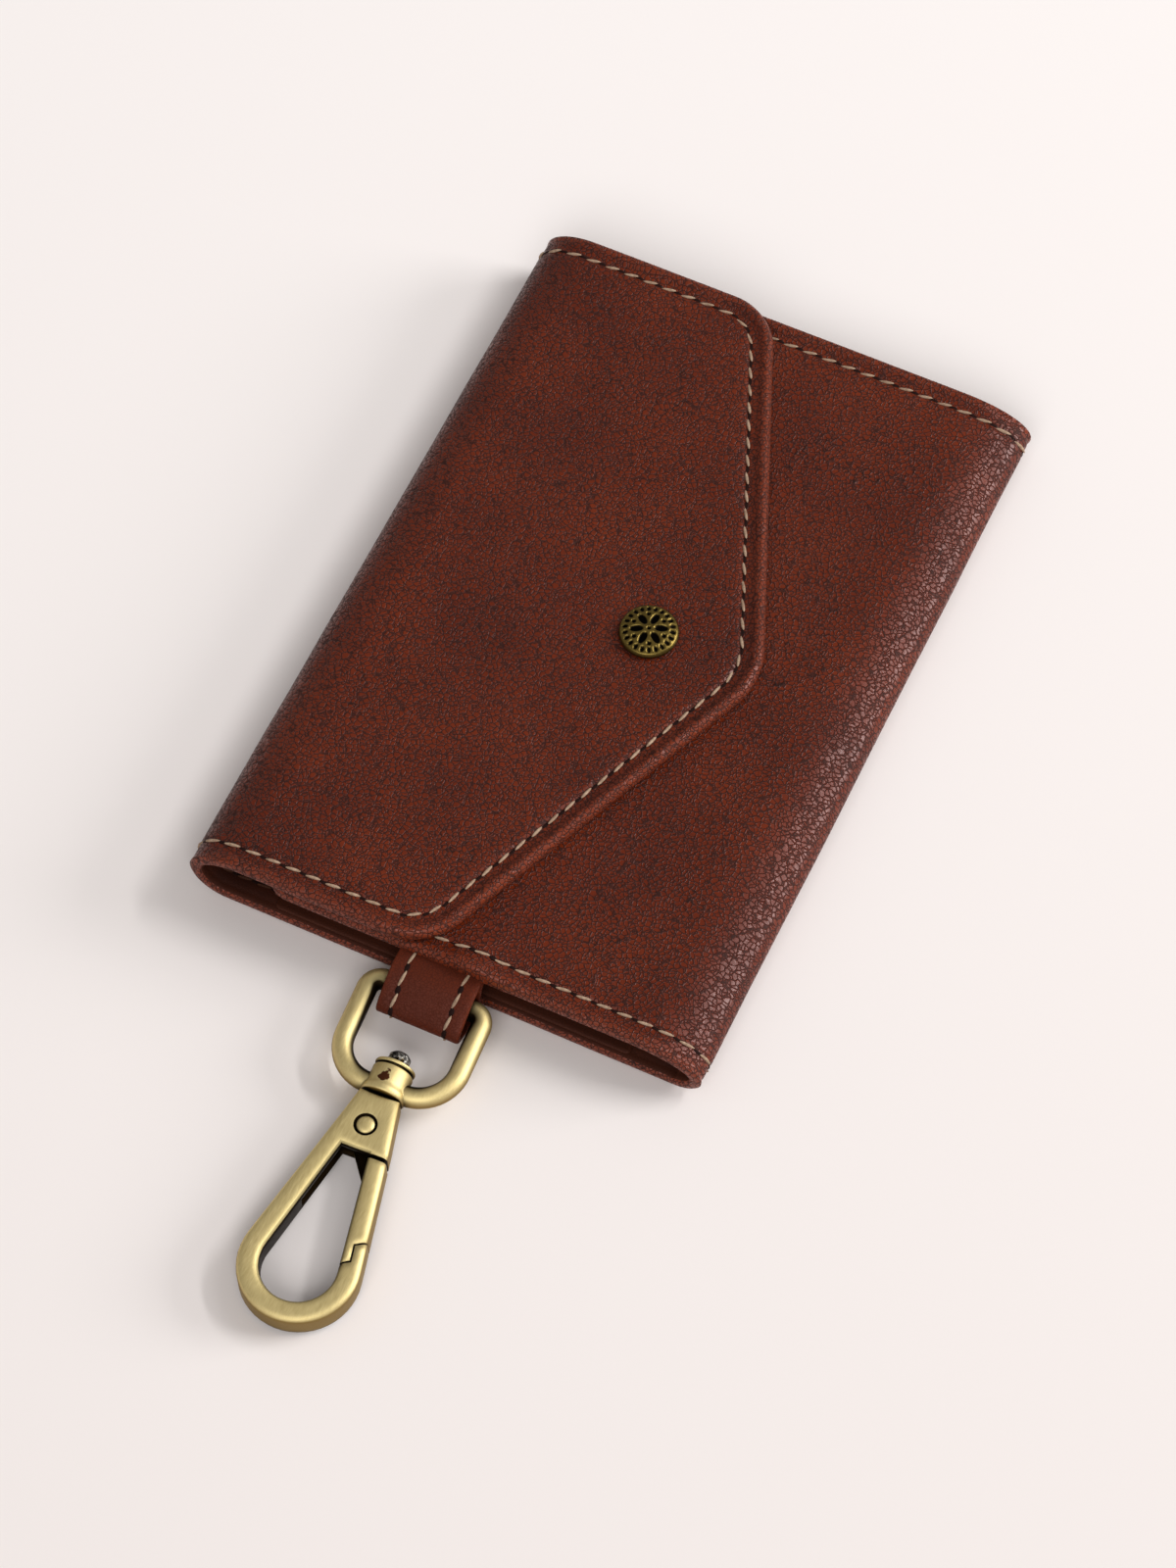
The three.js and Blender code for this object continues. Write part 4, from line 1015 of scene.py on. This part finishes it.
washerLook = {
    "sides": 48,
    "profile": [(1.75, -18.15), (3.5, -18.15), (3.55, -17.95), (4.1, -17.92), (4.28, -17.75), (4.32, -17.5),
                (4.22, -17.25), (3.95, -17.15), (1.75, -17.15)],
}
rivetLook = {
    "place": (0, -32.2, 0), "sides": 36,
    "profile": [(1.5, 0), (1.5, 2.46), (1.96, 2.52), (1.94, 2.95), (1.78, 3.24), (1.4, 3.45), (0.8, 3.56),
                (0, 3.6)],
}


def makeWasher():
    bm = bmesh.new()
    spinProfile(
        bm, [(r, y, 0) for r, y in washerLook["profile"]], (0, 1, 0), washerLook["sides"], closed=True)
    bmesh.ops.transform(bm, matrix=toClip, verts=bm.verts)
    washer = finishPiece(
        bm, "washer_disc", [antiqueBrass], ["swivel_washer"], metalFinish["turnedSharp"])
    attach(washer, "hook")


def makeRivet():
    bm = bmesh.new()
    upper = [(r, 0, z) for r, z in rivetLook["profile"]]
    lower = [(r, 0, -z) for r, z in reversed(rivetLook["profile"][1:])]
    spinProfile(bm, lower + upper, (0, 0, 1), rivetLook["sides"])
    bmesh.ops.transform(bm, matrix=toClip @ Matrix.Translation(rivetLook["place"]), verts=bm.verts)
    rivet = finishPiece(
        bm, "rivet_head", [antiqueBrass], ["gate_rivet"], metalFinish["turnedSharp"])
    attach(rivet, "hook")


makeWasher()
makeRivet()


# Cast and turned metal whose solids already have the shape: merged copies with smooth faces

metalPieces = [
    {"node": "hook_body", "name": "hook_cast", "body": "hook", "material": hookBrass},
    {"node": "gate", "name": "gate_cast", "body": "gate", "material": hookBrass},
    {"node": "swivel_pin", "name": "pin_turned", "body": "hook", "material": darkSteel},
    {"node": "snap_socket", "name": "socket_turned", "body": "flap", "material": antiqueBrass},
    {"node": "snap_stud", "name": "stud_turned", "body": "front", "material": antiqueBrass},
    {"node": "snap_post", "name": "post_turned", "body": "front", "material": antiqueBrass},
    {"node": "gate_spring", "name": "spring_wire", "body": None, "material": darkSteel},
]
# Where the hook is darkened: patina in the slot and the rivet's seat; on the walls round the eye, patina
# together with painted shade.
hookPatinaAndShade = {
    "slotHalf": 1.5, "slotLevel": 0.9, "seat": 2.5, "seatDepth": 3.2,
    "eyeTop": -38.5, "eyeBottom": -64.4, "eyeX": -0.5, "headFrom": -34.5, "flank": (0.4, 0.95),
}


def patinaAndShadeOn(face):
    look = hookPatinaAndShade
    centre = toClip.inverted() @ face.calc_center_median()
    normal = clipTurn.inverted() @ face.normal
    rivet = Vector(rivetLook["place"])
    eyeWallShadeShare = 1 - smoothStep(*look["flank"], abs(normal.z))
    if abs(centre.z) < look["slotHalf"] and abs(normal.z) > look["slotLevel"]:
        return 1.0
    if (centre - rivet).xy.length < look["seat"] and abs(centre.z) < look["seatDepth"]:
        return 1.0
    if centre.y > look["headFrom"]:
        return 0.0
    # walls that face into the eye: patina together with painted shade
    along = min(max(centre.y, look["eyeBottom"]), look["eyeTop"])
    share = (along - look["eyeTop"]) / (look["eyeBottom"] - look["eyeTop"])
    middle = Vector((look["eyeX"] * share, along))
    towards = (middle - centre.xy).dot(normal.xy)
    return eyeWallShadeShare * smoothStep(0.0, 1.0, towards)


def copyMetal(entry):
    bm = bmesh.new()
    bm.from_mesh(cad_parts[entry["node"]].data)
    bmesh.ops.scale(bm, vec=(1000, 1000, 1000), verts=bm.verts)
    bmesh.ops.remove_doubles(bm, verts=bm.verts, dist=metalFinish["mergeMm"])
    bmesh.ops.dissolve_limit(
        bm, angle_limit=math.radians(metalFinish["flatWithin"]), use_dissolve_boundaries=False,
        verts=bm.verts, edges=bm.edges)
    layer = bm.faces.layers.float.new("patina")
    bm.normal_update()
    for face in bm.faces:
        face.material_index = 0
        if entry["material"] == hookBrass:
            face[layer] = patinaAndShadeOn(face)
    piece = finishPiece(
        bm, entry["name"], [entry["material"]], [entry["node"]], metalFinish["castSharp"])
    piece.modifiers.new("flat faces stay flat", "WEIGHTED_NORMAL").keep_sharp = True
    if entry["body"]:
        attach(piece, entry["body"])
    else:  # the spring's gate leg follows the gate
        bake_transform(piece, "hook", "gate", start=(-0.0009, -0.1231, 0.005), end=(0.0036, -0.1231, 0.005))


for entry in metalPieces:
    copyMetal(entry)


# Floor, light and camera

# painted light falloff: the floor's colour runs darker towards the near side and the right
floorLook = {
    "near": "#F0E8E5", "far": "#FFFAF8", "nearAt": -0.4, "farAt": 0.4, "slant": -0.45, "size": 8.0,
    "drop": 0.0005, "rough": 0.9, "specular": 0.1,
}


def makeFloor():
    bm = bmesh.new()
    bmesh.ops.create_grid(bm, x_segments=1, y_segments=1, size=floorLook["size"] / 2)
    bmesh.ops.translate(bm, vec=(0, 0, -floorLook["drop"]), verts=bm.verts)
    mesh = bpy.data.meshes.new("floor")
    bm.to_mesh(mesh)
    bm.free()
    floor = bpy.data.objects.new("floor", mesh)
    bpy.context.scene.collection.objects.link(floor)
    material, tree, shader = newMaterial("pale paper, painted light falloff")
    place = addNode(tree, "ShaderNodeSeparateXYZ", {
        "Vector": addNode(tree, "ShaderNodeTexCoord").outputs["Object"]})
    along = addNode(tree, "ShaderNodeMath", {
        0: place.outputs["X"], 1: floorLook["slant"], 2: place.outputs["Y"]}, operation="MULTIPLY_ADD")
    share = addNode(tree, "ShaderNodeMapRange", {
        "Value": along.outputs[0], 1: floorLook["nearAt"], 2: floorLook["farAt"]})
    colour = addNode(tree, "ShaderNodeMix", {
        "Factor": share.outputs[0], 6: srgb(floorLook["near"]), 7: srgb(floorLook["far"])},
        data_type="RGBA")
    tree.links.new(colour.outputs[2], shader.inputs["Base Color"])
    shader.inputs["Roughness"].default_value = floorLook["rough"]
    shader.inputs["Specular IOR Level"].default_value = floorLook["specular"]
    mesh.materials.append(material)


lamps = [
    {"name": "key softbox", "from": (0.48, 0.4, 0.78), "distance": 3.0, "size": (1.5, 1.1), "watts": 11.0},
    {"name": "strip light", "from": (0.58, 0.43, 0.69), "distance": 3.0, "size": (1.4, 0.2), "watts": 21.0},
    {"name": "low window", "from": (0.83, 0.45, 0.33), "distance": 5.0, "size": (2.4, 1.7), "watts": 140.0},
    {"name": "fill softbox", "from": (0.2, -0.7, 0.68), "distance": 8.0, "size": (6.0, 4.4),
     "watts": 285.0},
]
worldLook = {"colour": "#FFFAF7", "strength": 0.31}


def makeLamps():
    for lamp in lamps:
        light = bpy.data.lights.new(lamp["name"], "AREA")
        light.shape = "RECTANGLE"
        light.size, light.size_y = lamp["size"]
        light.energy = lamp["watts"]
        source = bpy.data.objects.new(lamp["name"], light)
        direction = Vector(lamp["from"]).normalized()
        source.location = direction * lamp["distance"]
        source.rotation_euler = direction.to_track_quat("Z", "Y").to_euler()
        bpy.context.scene.collection.objects.link(source)
    world = bpy.data.worlds.new("studio")
    world.use_nodes = True
    background = world.node_tree.nodes["Background"]
    background.inputs["Color"].default_value = srgb(worldLook["colour"])
    background.inputs["Strength"].default_value = worldLook["strength"]
    bpy.context.scene.world = world


cameraLook = {
    "azimuth": 25.1, "elevation": 60.2, "distance": 1.06, "target": (0.0063, -0.0298, 0.0), "lens": 117.0,
    "sensor": 36,
}


def makeCamera():
    a, e = math.radians(cameraLook["azimuth"]), math.radians(cameraLook["elevation"])
    back = Vector((math.sin(a) * math.cos(e), -math.cos(a) * math.cos(e), math.sin(e)))
    data = bpy.data.cameras.new("camera")
    data.lens = cameraLook["lens"]
    data.sensor_width = cameraLook["sensor"]
    camera = bpy.data.objects.new("camera", data)
    camera.location = Vector(cameraLook["target"]) + back * cameraLook["distance"]
    camera.rotation_euler = (-back).to_track_quat("-Z", "Y").to_euler()
    bpy.context.scene.collection.objects.link(camera)
    bpy.context.scene.camera = camera


makeFloor()
makeLamps()
makeCamera()
bpy.context.scene.view_settings.view_transform = "Standard"
print("stage: floor, lamps and camera")
